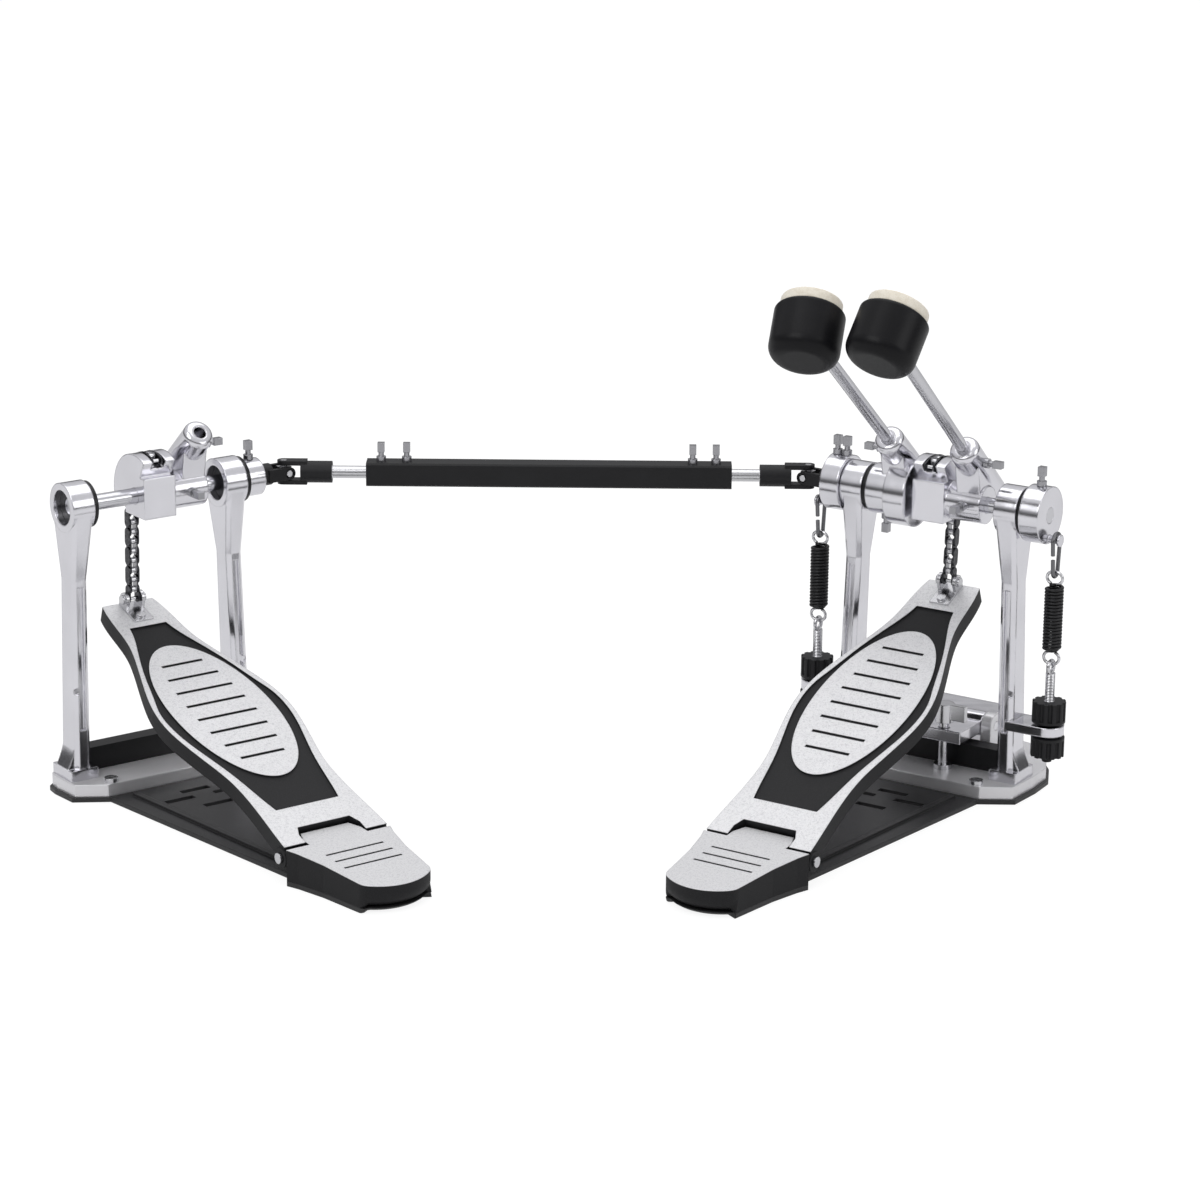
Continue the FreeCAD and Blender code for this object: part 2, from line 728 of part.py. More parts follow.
def slotted_screw(foot):
    """Frame screw: a round slotted head on a shank through the cast frame."""
    shank = rod(foot, foot + Z_AXIS * FRAME_TOP, SCREW_R)
    head = rod(foot + Z_AXIS * FRAME_TOP, foot + Z_AXIS * (FRAME_TOP + SCREW_HEAD), SCREW_HEAD_R)
    slot = block(
        (foot.x - SCREW_HEAD_R, foot.x + SCREW_HEAD_R),
        (foot.y - SCREW_SLOT / 2, foot.y + SCREW_SLOT / 2),
        (FRAME_TOP + SCREW_HEAD - SCREW_SLOT, FRAME_TOP + SCREW_HEAD + OVERRUN),
    )
    return join(shank, head).cut(slot)


def hinge_pin():
    """Heel hinge pin with a flat head at each end."""
    half = BOARD_EAR_OUT + LOOSE_CLEARANCE
    start = Vector(-half, HINGE_Y, HINGE_Z)
    end = Vector(half, HINGE_Y, HINGE_Z)
    head = X_AXIS * HINGE_HEAD
    return join(
        rod(start, end, HINGE_PIN_R),
        rod(start - head, start, HINGE_HEAD_R),
        rod(end, end + head, HINGE_HEAD_R),
    )


def frame_fasteners():
    """Frame screws, heel rivets and the heel hinge pin."""
    pieces = [slotted_screw(foot) for foot in frame_screw_places()]
    for foot in heel_rivet_places():
        pieces.append(rod(foot, foot + Z_AXIS * (HEEL_BACK_HEIGHT - SCREW_HEAD_R), SCREW_R))
    pieces.append(hinge_pin())
    return Part.makeCompound(pieces)


def board_s(share):
    """Distance from the heel hinge along the footboard."""
    return share * BOARD_LENGTH - BOARD_BACK


def board_outline(shares):
    """Right-hand points of an outline on the footboard."""
    return [Vector(width * BOARD_HALF_WIDTH, board_s(along), 0) for along, width in shares]


def oval_prism(low, high):
    """Prism of the raised oval in the middle of the footboard."""
    start = board_s(OVAL_START_SHARE)
    end = board_s(OVAL_END_SHARE)
    middle = Vector(0, (start + end) / 2, low)
    tip = Vector(0, end, low)
    side = middle + X_AXIS * OVAL_HALF_WIDTH
    edge = Part.Ellipse(tip, side, middle).toShape()
    return Part.Face(Part.Wire([edge])).extrude(Z_AXIS * (high - low))


def grip_bars():
    """Cutters for the straight grip grooves across the oval."""
    start = board_s(OVAL_START_SHARE)
    end = board_s(OVAL_END_SHARE)
    bars = []
    for share in GRIP_SHARES:
        offset = 2 * share - 1
        half = GRIP_REACH_SHARE * OVAL_HALF_WIDTH * math.sqrt(1 - offset * offset)
        s = start + share * (end - start)
        bars.append(
            block(
                (-half, half),
                (s - GRIP_WIDTH / 2, s + GRIP_WIDTH / 2),
                (BOARD_TOP - GRIP_DEPTH, BOARD_TOP + OVERRUN),
            )
        )
    return bars


def board_pocket(low):
    """Cutter for the hollow underside, which leaves a wall along the edges and the toe."""
    start = BOARD_NOTCH_LENGTH + BOARD_WALL
    end = board_s(1) - BOARD_WALL
    inside = [p for p in board_outline(BOARD_OUTLINE_SHARES) if start < p.y < end]
    points = [Vector(p.x - BOARD_WALL, p.y, 0) for p in inside]
    height = BOARD_THICKNESS - BOARD_PLATE + OVERRUN
    return curved_face(points, low - OVERRUN).extrude(Z_AXIS * height)


def footboard():
    """Footboard along its own length: hollow below, hinge ears, recess and raised oval with grip grooves."""
    low = BOARD_TOP - BOARD_THICKNESS
    slab = curved_face(board_outline(BOARD_OUTLINE_SHARES), low).extrude(Z_AXIS * BOARD_THICKNESS)
    ears = []
    for side in (-1, 1):
        ears.append(rod(X_AXIS * (side * BOARD_NOTCH_HALF), X_AXIS * (side * BOARD_EAR_OUT), BOARD_EAR_R))
    board = join(slab.cut(board_pocket(low)), *ears)
    notch_low = -BOARD_EAR_R - OVERRUN
    notch = prism(
        [
            Vector(-BOARD_NOTCH_HALF, -BOARD_EAR_R - OVERRUN, notch_low),
            Vector(BOARD_NOTCH_HALF, -BOARD_EAR_R - OVERRUN, notch_low),
            Vector(BOARD_NOTCH_HALF, BOARD_EAR_R, notch_low),
            Vector(BOARD_NOTCH_TIP_HALF, BOARD_NOTCH_LENGTH, notch_low),
            Vector(-BOARD_NOTCH_TIP_HALF, BOARD_NOTCH_LENGTH, notch_low),
            Vector(-BOARD_NOTCH_HALF, BOARD_EAR_R, notch_low),
        ],
        Z_AXIS * (BOARD_TOP + OVERRUN - notch_low),
    )
    floor = BOARD_TOP - RECESS_DEPTH
    recess = curved_face(board_outline(RECESS_SHARES), floor).extrude(Z_AXIS * (RECESS_DEPTH + OVERRUN))
    recess = recess.cut(oval_prism(floor - OVERRUN, BOARD_TOP + 2 * OVERRUN))
    board = board.cut(notch).cut(recess)
    for bar in grip_bars():
        board = board.cut(bar)
    bore_half = X_AXIS * (BOARD_EAR_OUT + OVERRUN)
    return board.cut(rod(bore_half * -1, bore_half, HINGE_PIN_R + RUNNING_CLEARANCE))


def anchor_point():
    """Chain pivot along the footboard."""
    return Vector(0, board_s(1) - ANCHOR_BACK, BOARD_TOP + ANCHOR_RISE)


def chain_anchor():
    """Clevis on the toe of the footboard, with the heads of its pivot and its screw."""
    pivot = anchor_point()
    outer = ANCHOR_GAP_HALF + ANCHOR_WALL
    floor_top = BOARD_TOP + ANCHOR_FLOOR
    floor = block(
        (-outer, outer),
        (pivot.y - ANCHOR_LENGTH, pivot.y + ANCHOR_WALL_R),
        (BOARD_TOP, floor_top),
    )
    pieces = [floor]
    for side in (-1, 1):
        inner_face = X_AXIS * (side * ANCHOR_GAP_HALF)
        outer_face = X_AXIS * (side * outer)
        head_face = X_AXIS * (side * (outer + ANCHOR_SCREW_HEAD))
        pieces.append(rod(pivot + inner_face, pivot + outer_face, ANCHOR_WALL_R))
        pieces.append(
            block(
                sorted((inner_face.x, outer_face.x)),
                (pivot.y - ANCHOR_WALL_R, pivot.y + ANCHOR_WALL_R),
                (BOARD_TOP, pivot.z),
            )
        )
        pieces.append(rod(pivot + outer_face, pivot + head_face, ANCHOR_SCREW_R))
    screw = Vector(0, pivot.y - ANCHOR_LENGTH + ANCHOR_WALL_R, floor_top)
    pieces.append(rod(screw, screw + Z_AXIS * ANCHOR_SCREW_HEAD, ANCHOR_SCREW_R))
    return join(*pieces)


def board_place(slope_deg):
    """Where a footboard of this slope sits in its pedal."""
    return FreeCAD.Placement(Vector(0, HINGE_Y, HINGE_Z), FreeCAD.Rotation(X_AXIS, slope_deg))


def stadium(start, end, radius, x_range):
    """A flat link plate between two pins, with round ends."""
    along = (end - start).normalize()
    across = X_AXIS.cross(along) * radius
    left = X_AXIS * x_range[0]
    edges = [
        Part.LineSegment(start + across + left, end + across + left).toShape(),
        Part.Arc(end + across + left, end + along * radius + left, end - across + left).toShape(),
        Part.LineSegment(end - across + left, start - across + left).toShape(),
        Part.Arc(start - across + left, start - along * radius + left, start + across + left).toShape(),
    ]
    return Part.Face(Part.Wire(edges)).extrude(X_AXIS * (x_range[1] - x_range[0]))


def inner_link(start, end):
    """Link of two plates on two rollers."""
    low = CHAIN_INNER_HALF
    high = CHAIN_INNER_HALF + CHAIN_PLATE
    plates = [stadium(start, end, CHAIN_PLATE_R, span) for span in ((low, high), (-high, -low))]
    rollers = [rod(p - X_AXIS * low, p + X_AXIS * low, CHAIN_ROLLER_R) for p in (start, end)]
    link = join(*plates, *rollers)
    for pin in (start, end):
        bore = X_AXIS * (high + OVERRUN)
        link = link.cut(rod(pin - bore, pin + bore, CHAIN_PIN_R + RUNNING_CLEARANCE))
    return link


def outer_link(start, end):
    """Link of two plates joined by two pins."""
    low = CHAIN_INNER_HALF + CHAIN_PLATE + CHAIN_SIDE_GAP
    high = low + CHAIN_PLATE
    plates = [stadium(start, end, CHAIN_PLATE_R, span) for span in ((low, high), (-high, -low))]
    pins = [rod(p - X_AXIS * high, p + X_AXIS * high, CHAIN_PIN_R) for p in (start, end)]
    return join(*plates, *pins)


def wheel_point(radius, angle, x=0.0):
    """A point on a wheel round the axle, its angle in radians above the drum side."""
    return axle_point(x, radius * math.cos(angle), radius * math.sin(angle))


def chain_pins(anchor):
    """Pins of a whole chain from its anchor over the cam, and the number of links in its straight run."""
    arm = anchor - axle_point(0)
    leave = math.atan2(arm.z, arm.y) + math.acos(CAM_PITCH_R / arm.Length)
    tangent = wheel_point(CAM_PITCH_R, leave)
    straight = (tangent - anchor).Length
    run_links = int(straight / CHAIN_PITCH)
    pins = []
    for number in range(run_links + LIFT_LINKS + WRAP_LINKS + 1):
        reach = number * CHAIN_PITCH
        if reach <= straight:
            pins.append(anchor + (tangent - anchor) * (reach / straight))
        else:
            pins.append(wheel_point(CAM_PITCH_R, leave + (reach - straight) / CAM_PITCH_R))
    return pins, run_links


def chain_links(pins, first, last):
    """The links between two pins of a chain."""
    links = []
    for number in range(first, last):
        make = inner_link if number % 2 else outer_link
        links.append(make(pins[number], pins[number + 1]))
    return Part.makeCompound(links)


def beater_turn(side):
    """Rotation that leans a beater back; the slave beater, on the left, leans further."""
    lag = SLAVE_BEATER_LAG_DEG if side < 0 else 0
    return FreeCAD.Rotation(X_AXIS, BEATER_TILT_DEG + lag)


def beater_along(side):
    """Direction of a beater rod, towards its head."""
    return beater_turn(side).multVec(Z_AXIS)


def beater_out(side):
    """Direction square to a beater rod and to the axle, towards the drum."""
    return beater_turn(side).multVec(Y_AXIS)


def blow_direction(side):
    """Direction of a beater head's blow; the slave head is turned a little on its rod."""
    twist = SLAVE_HEAD_TWIST_DEG if side < 0 else 0
    return FreeCAD.Rotation(beater_along(side), twist).multVec(beater_out(side))


def beater_point(side, along):
    """A point on the axis of a beater rod."""
    return axle_point(side * BEATER_X) + beater_out(side) * BEATER_OFFSET + beater_along(side) * along


def key_bolt(seat, direction, depth):
    """Square-headed drum-key bolt standing on a seat."""
    collar_top = KEY_COLLAR
    neck_top = collar_top + KEY_NECK
    bolt = join(
        rod(Z_AXIS * -depth, Z_AXIS * collar_top, KEY_SHANK_R),
        rod(FLOOR_ORIGIN, Z_AXIS * collar_top, KEY_COLLAR_R),
        rod(Z_AXIS * collar_top, Z_AXIS * neck_top, KEY_NECK_R),
        block(
            (-KEY_HEAD_HALF, KEY_HEAD_HALF),
            (-KEY_HEAD_HALF, KEY_HEAD_HALF),
            (neck_top, neck_top + KEY_HEAD),
        ),
    )
    bolt.Placement = FreeCAD.Placement(seat, FreeCAD.Rotation(Z_AXIS, direction))
    return bolt


def tapped(shape, bolts):
    """A shape with the holes for its key bolts."""
    for seat, direction, depth in bolts:
        hole = rod(seat + direction * OVERRUN, seat - direction * depth, KEY_SHANK_R + SEAT_CLEARANCE)
        shape = shape.cut(hole)
    return shape


def bolt_group(*groups):
    """All key bolts of one body."""
    return Part.makeCompound([key_bolt(*bolt) for bolts in groups for bolt in bolts])


def holder_bolts(side):
    """The clamp bolt of a beater holder."""
    seat = beater_point(side, HOLDER_BOLT_SHARE * HOLDER_TO) + X_AXIS * (side * HOLDER_R)
    return [(seat, X_AXIS * side, HOLDER_R - BEATER_ROD_R - LOOSE_CLEARANCE)]


def cam_bolts():
    """The bolt that locks a cam to its axle."""
    seat = axle_point((CAM_HALF_WIDTH + CAM_BOSS_END) / 2, -CAM_BOSS_R)
    return [(seat, Y_AXIS * -1, KEY_SHANK_DEPTH)]


def holder(side):
    """Sleeve for a beater rod and the web that carries it."""
    end = beater_point(side, HOLDER_TO)
    sleeve = rounded_drum(beater_point(side, HOLDER_FROM), end, HOLDER_R, [(end, HOLDER_EDGE)])
    axle = axle_point(side * BEATER_X)
    corners = [
        axle - beater_along(side) * (CAM_BOSS_R * HOLDER_WEB_SHARE),
        axle + beater_along(side) * CAM_BOSS_R,
        beater_point(side, HOLDER_TO * HOLDER_WEB_SHARE),
        beater_point(side, HOLDER_FROM * HOLDER_WEB_SHARE),
    ]
    left = X_AXIS * -HOLDER_WEB_HALF
    web = prism([corner + left for corner in corners], X_AXIS * (2 * HOLDER_WEB_HALF))
    return sleeve, web


def rod_bore(side):
    """Cutter for the beater rod's bore through a holder."""
    start = beater_point(side, HOLDER_FROM - CAM_R)
    return rod(start, beater_point(side, HOLDER_TO + OVERRUN), BEATER_ROD_R + RUNNING_CLEARANCE)


def cam():
    """Chain cam with a boss on the axle and a beater holder."""
    left = axle_point(-CAM_HALF_WIDTH)
    right = axle_point(CAM_HALF_WIDTH)
    wedge = (CAM_TO_DEG - CAM_FROM_DEG) / CAM_WEDGES
    angles = [math.radians(CAM_FROM_DEG + number * wedge) for number in range(CAM_WEDGES + 1)]
    corners = [left] + [wheel_point(2 * CAM_R, angle, left.x) for angle in angles]
    sector = rod(left, right, CAM_R).common(prism(corners, right - left))
    middle = block(
        (left.x, right.x),
        (-CAM_BLOCK_BACK, CAM_BLOCK_FRONT),
        (AXLE_HEIGHT - CAM_BLOCK_HALF_HEIGHT, AXLE_HEIGHT + CAM_BLOCK_HALF_HEIGHT),
    )
    boss = rod(right, axle_point(CAM_BOSS_END), CAM_BOSS_R)
    groove = tube(
        axle_point(-CAM_GROOVE_HALF),
        axle_point(CAM_GROOVE_HALF),
        CAM_R + OVERRUN,
        CAM_GROOVE_R,
    )
    body = join(sector, middle, boss, *holder(1)).cut(groove).cut(rod_bore(1))
    reach = X_AXIS * (CAM_BOSS_END + OVERRUN)
    bore = rod(axle_point(0) - reach, axle_point(0) + reach, AXLE_R + SEAT_CLEARANCE)
    return tapped(body.cut(bore), cam_bolts() + holder_bolts(1))


def beater_rod(side):
    """Beater rod from below its holder into the head."""
    return rod(beater_point(side, BEATER_ROD_FROM), beater_point(side, BEATER_REACH), BEATER_ROD_R)


def rounded_drum(start, end, radius, rounds):
    """A short cylinder; rounds gives the middle of each rounded rim and its rounding."""
    drum = rod(start, end, radius)
    for middle, rounding in rounds:
        circles = [e for e in drum.Edges if e.Closed and isinstance(e.Curve, Part.Circle)]
        rims = [e for e in circles if (e.Curve.Center - middle).Length < SEAT_CLEARANCE]
        drum = drum.makeFillet(rounding, rims)
    return drum


def beater_head(side):
    """Hard beater head, with the socket for its rod."""
    middle = beater_point(side, BEATER_REACH)
    blow = blow_direction(side)
    back = middle - blow * ((BEATER_HEAD_LENGTH + BEATER_FELT_LENGTH) / 2)
    front = back + blow * BEATER_HEAD_LENGTH
    rounds = [(back, BEATER_HEAD_EDGE), (front, BEATER_SHOULDER)]
    head = rounded_drum(front, back, BEATER_HEAD_R, rounds)
    socket = rod(
        middle - beater_along(side) * (BEATER_HEAD_R + OVERRUN),
        middle + beater_along(side) * SEAT_CLEARANCE,
        BEATER_ROD_R + SEAT_CLEARANCE,
    )
    return head.cut(socket)


def beater_felt(side):
    """Felt disc on the striking face of a beater head."""
    middle = beater_point(side, BEATER_REACH)
    start = middle + blow_direction(side) * ((BEATER_HEAD_LENGTH - BEATER_FELT_LENGTH) / 2)
    end = start + blow_direction(side) * BEATER_FELT_LENGTH
    return rounded_drum(start, end, BEATER_FELT_R, [(end, BEATER_FELT_EDGE)])


def right_spring_bolts():
    """The bolt that locks the right spring cam."""
    seat = axle_point(RIGHT_CAM_X + SPRING_CAM_WIDTH / 2, 0, SPRING_CAM_R)
    return [(seat, Z_AXIS, KEY_SHANK_DEPTH)]


def left_spring_bolts():
    """The two bolts that lock the left spring cam."""
    middle = -(LEFT_CAM_X + SPRING_CAM_WIDTH / 2)
    offset = KEY_COLLAR_R + LOOSE_CLEARANCE
    return [(axle_point(middle + s * offset, 0, SPRING_CAM_R), Z_AXIS, KEY_SHANK_DEPTH) for s in (-1, 1)]


def spring_cam(near, bolts, side):
    """Round lever on the end of an axle, with the pin that the spring pulls on."""
    start = axle_point(side * near)
    end = axle_point(side * (near + SPRING_CAM_WIDTH))
    pin_start = end - Z_AXIS * SPRING_PIN_DROP
    hook_face = SPRING_X + HOOK_WIRE_R + LOOSE_CLEARANCE
    pin_end = Vector(side * hook_face, 0, pin_start.z)
    head = X_AXIS * (side * SPRING_PIN_HEAD)
    body = join(
        rod(start, end, SPRING_CAM_R),
        rod(pin_start, pin_end, SPRING_PIN_R),
        rod(pin_end, pin_end + head, SPRING_PIN_HEAD_R),
    )
    return tapped(body.cut(rod(start, end, AXLE_R + SEAT_CLEARANCE)), bolts)


def drive_hub_bolts():
    """The bolt under the slave drive hub."""
    seat = axle_point(-(DRIVE_HUB_X - DRIVE_HUB_LENGTH / 2), 0, -DRIVE_HUB_R)
    return [(seat, Z_AXIS * -1, KEY_SHANK_DEPTH)]


def drive_hub():
    """Hub on the stub axle that carries the slave beater, with a pilot bore for the main axle."""
    outer = axle_point(-DRIVE_HUB_X)
    step = axle_point(-(DRIVE_HUB_X - DRIVE_HUB_LENGTH))
    inner = axle_point(-DRIVE_DISC_END)
    body = join(
        rod(outer, step, DRIVE_HUB_R),
        rod(step, inner, DRIVE_DISC_R),
        *holder(-1),
    )
    body = body.cut(rod_bore(-1))
    body = body.cut(rod(outer, outer + X_AXIS * STUB_SEAT, AXLE_R + SEAT_CLEARANCE))
    body = body.cut(rod(inner, inner - X_AXIS * PILOT_DEPTH, AXLE_R + RUNNING_CLEARANCE))
    return tapped(body, drive_hub_bolts() + holder_bolts(-1))


def fork(length, neck_radius, hole_clearance):
    """Fork along +X from the middle of a universal joint, its pin holes along Y."""
    outer = FORK_SLOT_HALF + FORK_ARM
    width = (-FORK_ARM_HALF_WIDTH, FORK_ARM_HALF_WIDTH)
    pieces = [block((FORK_REACH, FORK_REACH + FORK_BASE), (-outer, outer), width)]
    for side in (-1, 1):
        span = sorted((side * FORK_SLOT_HALF, side * outer))
        pieces.append(block((0, FORK_REACH), span, width))
        pieces.append(rod(Vector(0, span[0], 0), Vector(0, span[1], 0), FORK_ARM_HALF_WIDTH))
    pieces.append(rod(X_AXIS * FORK_REACH, X_AXIS * length, neck_radius))
    body = join(*pieces)
    reach = Y_AXIS * (outer + OVERRUN)
    return body.cut(rod(reach * -1, reach, CROSS_PIN_R + hole_clearance))


def joint_cross():
    """Cross of a universal joint: a cube with pins along Y and Z."""
    half = CROSS_BODY_HALF
    reach = FORK_SLOT_HALF + FORK_ARM
    return join(
        block((-half, half), (-half, half), (-half, half)),
        rod(Y_AXIS * -reach, Y_AXIS * reach, CROSS_PIN_R),
        rod(Z_AXIS * -reach, Z_AXIS * reach, CROSS_PIN_R),
    )


def moved(shape, place):
    """A copy of a shape at a place."""
    copy = shape.copy()
    copy.Placement = place.multiply(copy.Placement)
    return copy


def main_axle():
    """Main axle from the pilot bore to the right spring cam."""
    left = -(DRIVE_DISC_END + PILOT_DEPTH - SPRING_CAM_SIDE_GAP)
    return rod(axle_point(left), axle_point(RIGHT_CAM_X + SPRING_CAM_WIDTH), AXLE_R)


def stub_axle():
    """Stub axle of the slave drive, forged in one with its fork."""
    yoke = fork(STUB_FORK_LENGTH, FORK_NECK_R, OPEN_PIVOT_CLEARANCE)
    yoke.translate(axle_point(-MAIN_JOINT_REACH))
    bar = rod(
        axle_point(-(MAIN_JOINT_REACH - FORK_REACH)),
        axle_point(-(DRIVE_HUB_X - STUB_SEAT)),
        AXLE_R,
    )
    return join(yoke, bar)


def slave_axle():
    """Slave axle from the left bearing into the fork."""
    left = axle_point(-(HUB_OUTER - BEARING_RECESS))
    return rod(left, axle_point(SLAVE_YOKE_X + FORK_NECK_R / 2), AXLE_R)


def collar_bolts():
    """The bolt of the slave yoke's collar."""
    seat = axle_point(SLAVE_COLLAR_X + YOKE_COLLAR_LENGTH / 2, 0, YOKE_COLLAR_R)
    return [(seat, Z_AXIS, KEY_SHANK_DEPTH)]


def slave_collar():
    """Clamp collar between the slave's right bearing and its yoke."""
    ring = tube(
        axle_point(SLAVE_COLLAR_X),
        axle_point(SLAVE_YOKE_X),
        YOKE_COLLAR_R,
        AXLE_R + SEAT_CLEARANCE,
    )
    return tapped(ring, collar_bolts())


def slave_yoke():
    """Fork on the end of the slave axle."""
    yoke = fork(SLAVE_FORK_LENGTH, FORK_NECK_R, OPEN_PIVOT_CLEARANCE)
    half_turn = FreeCAD.Rotation(Z_AXIS, FULL_TURN_DEG / 2)
    yoke = moved(yoke, FreeCAD.Placement(axle_point(SLAVE_JOINT_REACH), half_turn))
    start = axle_point(SLAVE_YOKE_X)
    seat = X_AXIS * (FORK_NECK_R / 2 + SEAT_CLEARANCE)
    return yoke.cut(rod(start, start + seat, AXLE_R + SEAT_CLEARANCE))


TUBE_LENGTH = SHAFT_SPAN - TUBE_SLAVE_GAP - TUBE_MAIN_GAP
ROD_INSERT = (TUBE_LENGTH - ROD_END_GAP) / 2


def shaft_arm(tube_gap):
    """Half of the drive shaft along +X from its universal joint: fork and round rod."""
    upright_pins = FreeCAD.Rotation(X_AXIS, QUARTER_TURN_DEG)
    yoke = moved(
        fork(SHAFT_FORK_LENGTH, FORK_NECK_R, RUNNING_CLEARANCE),
        FreeCAD.Placement(FLOOR_ORIGIN, upright_pins),
    )
    bar = rod(X_AXIS * FORK_REACH, X_AXIS * (tube_gap + ROD_INSERT), SHAFT_ROD_R)
    return join(yoke, bar)


def shaft_tube():
    """Square telescopic tube of the drive shaft, along +X from its slave end."""
    half = TUBE_SIDE / 2
    flat = half - TUBE_EDGE
    corners = [
        Vector(0, -half, -flat),
        Vector(0, -half, flat),
        Vector(0, -flat, half),
        Vector(0, flat, half),
        Vector(0, half, flat),
        Vector(0, half, -flat),
        Vector(0, flat, -half),
        Vector(0, -flat, -half),
    ]
    body = prism(corners, X_AXIS * TUBE_LENGTH)
    body = body.cut(rod(FLOOR_ORIGIN, X_AXIS * TUBE_LENGTH, SHAFT_ROD_R + RUNNING_CLEARANCE))
    return tapped(body, tube_bolts())


def tube_bolts():
    """The clamp screws along the top of the tube."""
    depth = TUBE_SIDE / 2 - SHAFT_ROD_R - LOOSE_CLEARANCE
    return [(Vector(share * TUBE_LENGTH, 0, TUBE_SIDE / 2), Z_AXIS, depth) for share in TUBE_SCREW_SHARES]


def arc_edge(start, control, end):
    """The round edge from start to end whose end tangents meet at a control point."""
    middle = (start + end) / 2
    rise = control - middle
    half_chord = (end - start).Length / 2
    turn = math.atan2(rise.Length, half_chord)
    return Part.Arc(start, middle + rise.normalize() * (half_chord * math.tan(turn / 2)), end).toShape()


def biarc(start, start_along, end, end_along):
    """Two round edges that leave and arrive along given directions."""
    gap = end - start
    both = start_along + end_along
    spread = 2 * (1 - start_along.dot(end_along))
    lean = gap.dot(both)
    handle = (math.sqrt(lean * lean + spread * gap.dot(gap)) - lean) / spread
    first = start + start_along * handle
    second = end - end_along * handle
    middle = (first + second) / 2
    return [arc_edge(start, first, middle), arc_edge(middle, second, end)]


def coil_point(quarter):
    """Point and direction of the spring's coil after a number of quarter turns."""
    angle = quarter * math.pi / 2
    climb = COIL_PITCH / (2 * math.pi)
    point = Vector(COIL_R * math.cos(angle), COIL_R * math.sin(angle), climb * angle)
    along = Vector(-COIL_R * math.sin(angle), COIL_R * math.cos(angle), climb)
    return point, along.normalize()


def end_loop(start, start_along, height):
    """Edges from the last turn of the coil to the end of its open loop."""
    bottom = Vector(0, 0, height + LOOP_RISE)
    middle = bottom + Z_AXIS * LOOP_R
    edges = biarc(start, start_along, bottom, Y_AXIS * -1)
    side = middle - Y_AXIS * LOOP_R
    top = middle + Z_AXIS * LOOP_R
    far = middle + Y_AXIS * LOOP_R
    edges.append(arc_edge(bottom, bottom - Y_AXIS * LOOP_R, side))
    edges.append(arc_edge(side, top - Y_AXIS * LOOP_R, top))
    edges.append(arc_edge(top, top + Y_AXIS * LOOP_R, far))
    edges.append(Part.LineSegment(far, far - Z_AXIS * (2 * COIL_WIRE_R)).toShape())
    return edges


def spring_path():
    """Centre line of a return spring: loop, coil, loop. Its coil starts at height zero."""
    quarters = 4 * COIL_TURNS
    height = COIL_TURNS * COIL_PITCH
    coil = []
    for number in range(quarters):
        coil += biarc(*coil_point(number), *coil_point(number + 1))
    top_point, top_along = coil_point(quarters)
    top = end_loop(top_point, top_along, height)
    bottom = []
    middle = Z_AXIS * (height / 2)
    for edge in reversed(top):
        turned = edge.copy()
        turned.rotate(middle, X_AXIS, FULL_TURN_DEG / 2)
        bottom.append(turned)
    return bottom + coil + top


def swept_wire(edges, start, along, radius):
    """A round wire along edges that follow each other smoothly."""
    profile = Part.Wire([Part.Circle(start, along, radius).toShape()])
    shell = Part.BRepOffsetAPI.MakePipeShell(Part.Wire(Part.sortEdges(edges)[0]))
    shell.add(profile)
    shell.build()
    shell.makeSolid()
    return shell.shape()


def least_gap(edges, radius):
    """Least gap between parts of a wire that are more than half a turn of the coil apart."""
    points = []
    travelled = 0.0
    for edge in edges:
        count = max(2, int(edge.Length / (radius * GAP_STEP_SHARE)))
        for point in edge.discretize(count)[:-1]:
            points.append((travelled, point))
            travelled += edge.Length / (count - 1)
    apart = math.pi * COIL_R
    least = None
    for number, (at, point) in enumerate(points):
        for other_at, other in points[number + 1:]:
            if other_at - at > apart:
                gap = point.distanceToPoint(other) - 2 * radius
                least = gap if least is None else min(least, gap)
    return least


PIN_Z = AXLE_HEIGHT - SPRING_PIN_DROP
HOOK_TOP_Z = PIN_Z + SPRING_PIN_R + LOOSE_CLEARANCE + HOOK_WIRE_R - HOOK_HALF_WIDTH
HOOK_LOW_Z = HOOK_TOP_Z - HOOK_LENGTH
LOOP_TOP_Z = HOOK_LOW_Z - HOOK_LOW_R + HOOK_WIRE_R + COIL_WIRE_R + LOOSE_CLEARANCE
COIL_TOP_Z = LOOP_TOP_Z - 2 * LOOP_R - LOOP_RISE
EAR_TOP = EAR_Z + EAR_THICKNESS / 2 + LOOSE_CLEARANCE
EAR_LOW = EAR_Z - EAR_THICKNESS / 2 - LOOSE_CLEARANCE
EYE_TO_COIL = 2 * LOOP_R + LOOP_RISE + EYE_R - COIL_WIRE_R - EYE_WIRE_R - LOOSE_CLEARANCE
COIL_ROOM = COIL_TOP_Z - EYE_TO_COIL - ADJUSTER_STEM - ADJUSTER_COLLAR - EAR_TOP
COIL_TURNS = round(COIL_ROOM / COIL_PITCH)
COIL_LOW_Z = COIL_TOP_Z - COIL_TURNS * COIL_PITCH
EYE_Z = COIL_LOW_Z - EYE_TO_COIL


def spring(side):
    """Return spring, its end loops across the pedal."""
    edges = spring_path()
    height = COIL_TURNS * COIL_PITCH
    tip = edges[-1].Vertexes[-1].Point
    wire = swept_wire(edges, tip, Z_AXIS, COIL_WIRE_R)
    print("spring wire, least gap to itself in mm:", round(least_gap(edges, COIL_WIRE_R), 3))
    quarter = FreeCAD.Rotation(Z_AXIS, QUARTER_TURN_DEG)
    place = FreeCAD.Placement(Vector(side * SPRING_X, 0, COIL_TOP_Z - height), quarter)
    return moved(wire, place)


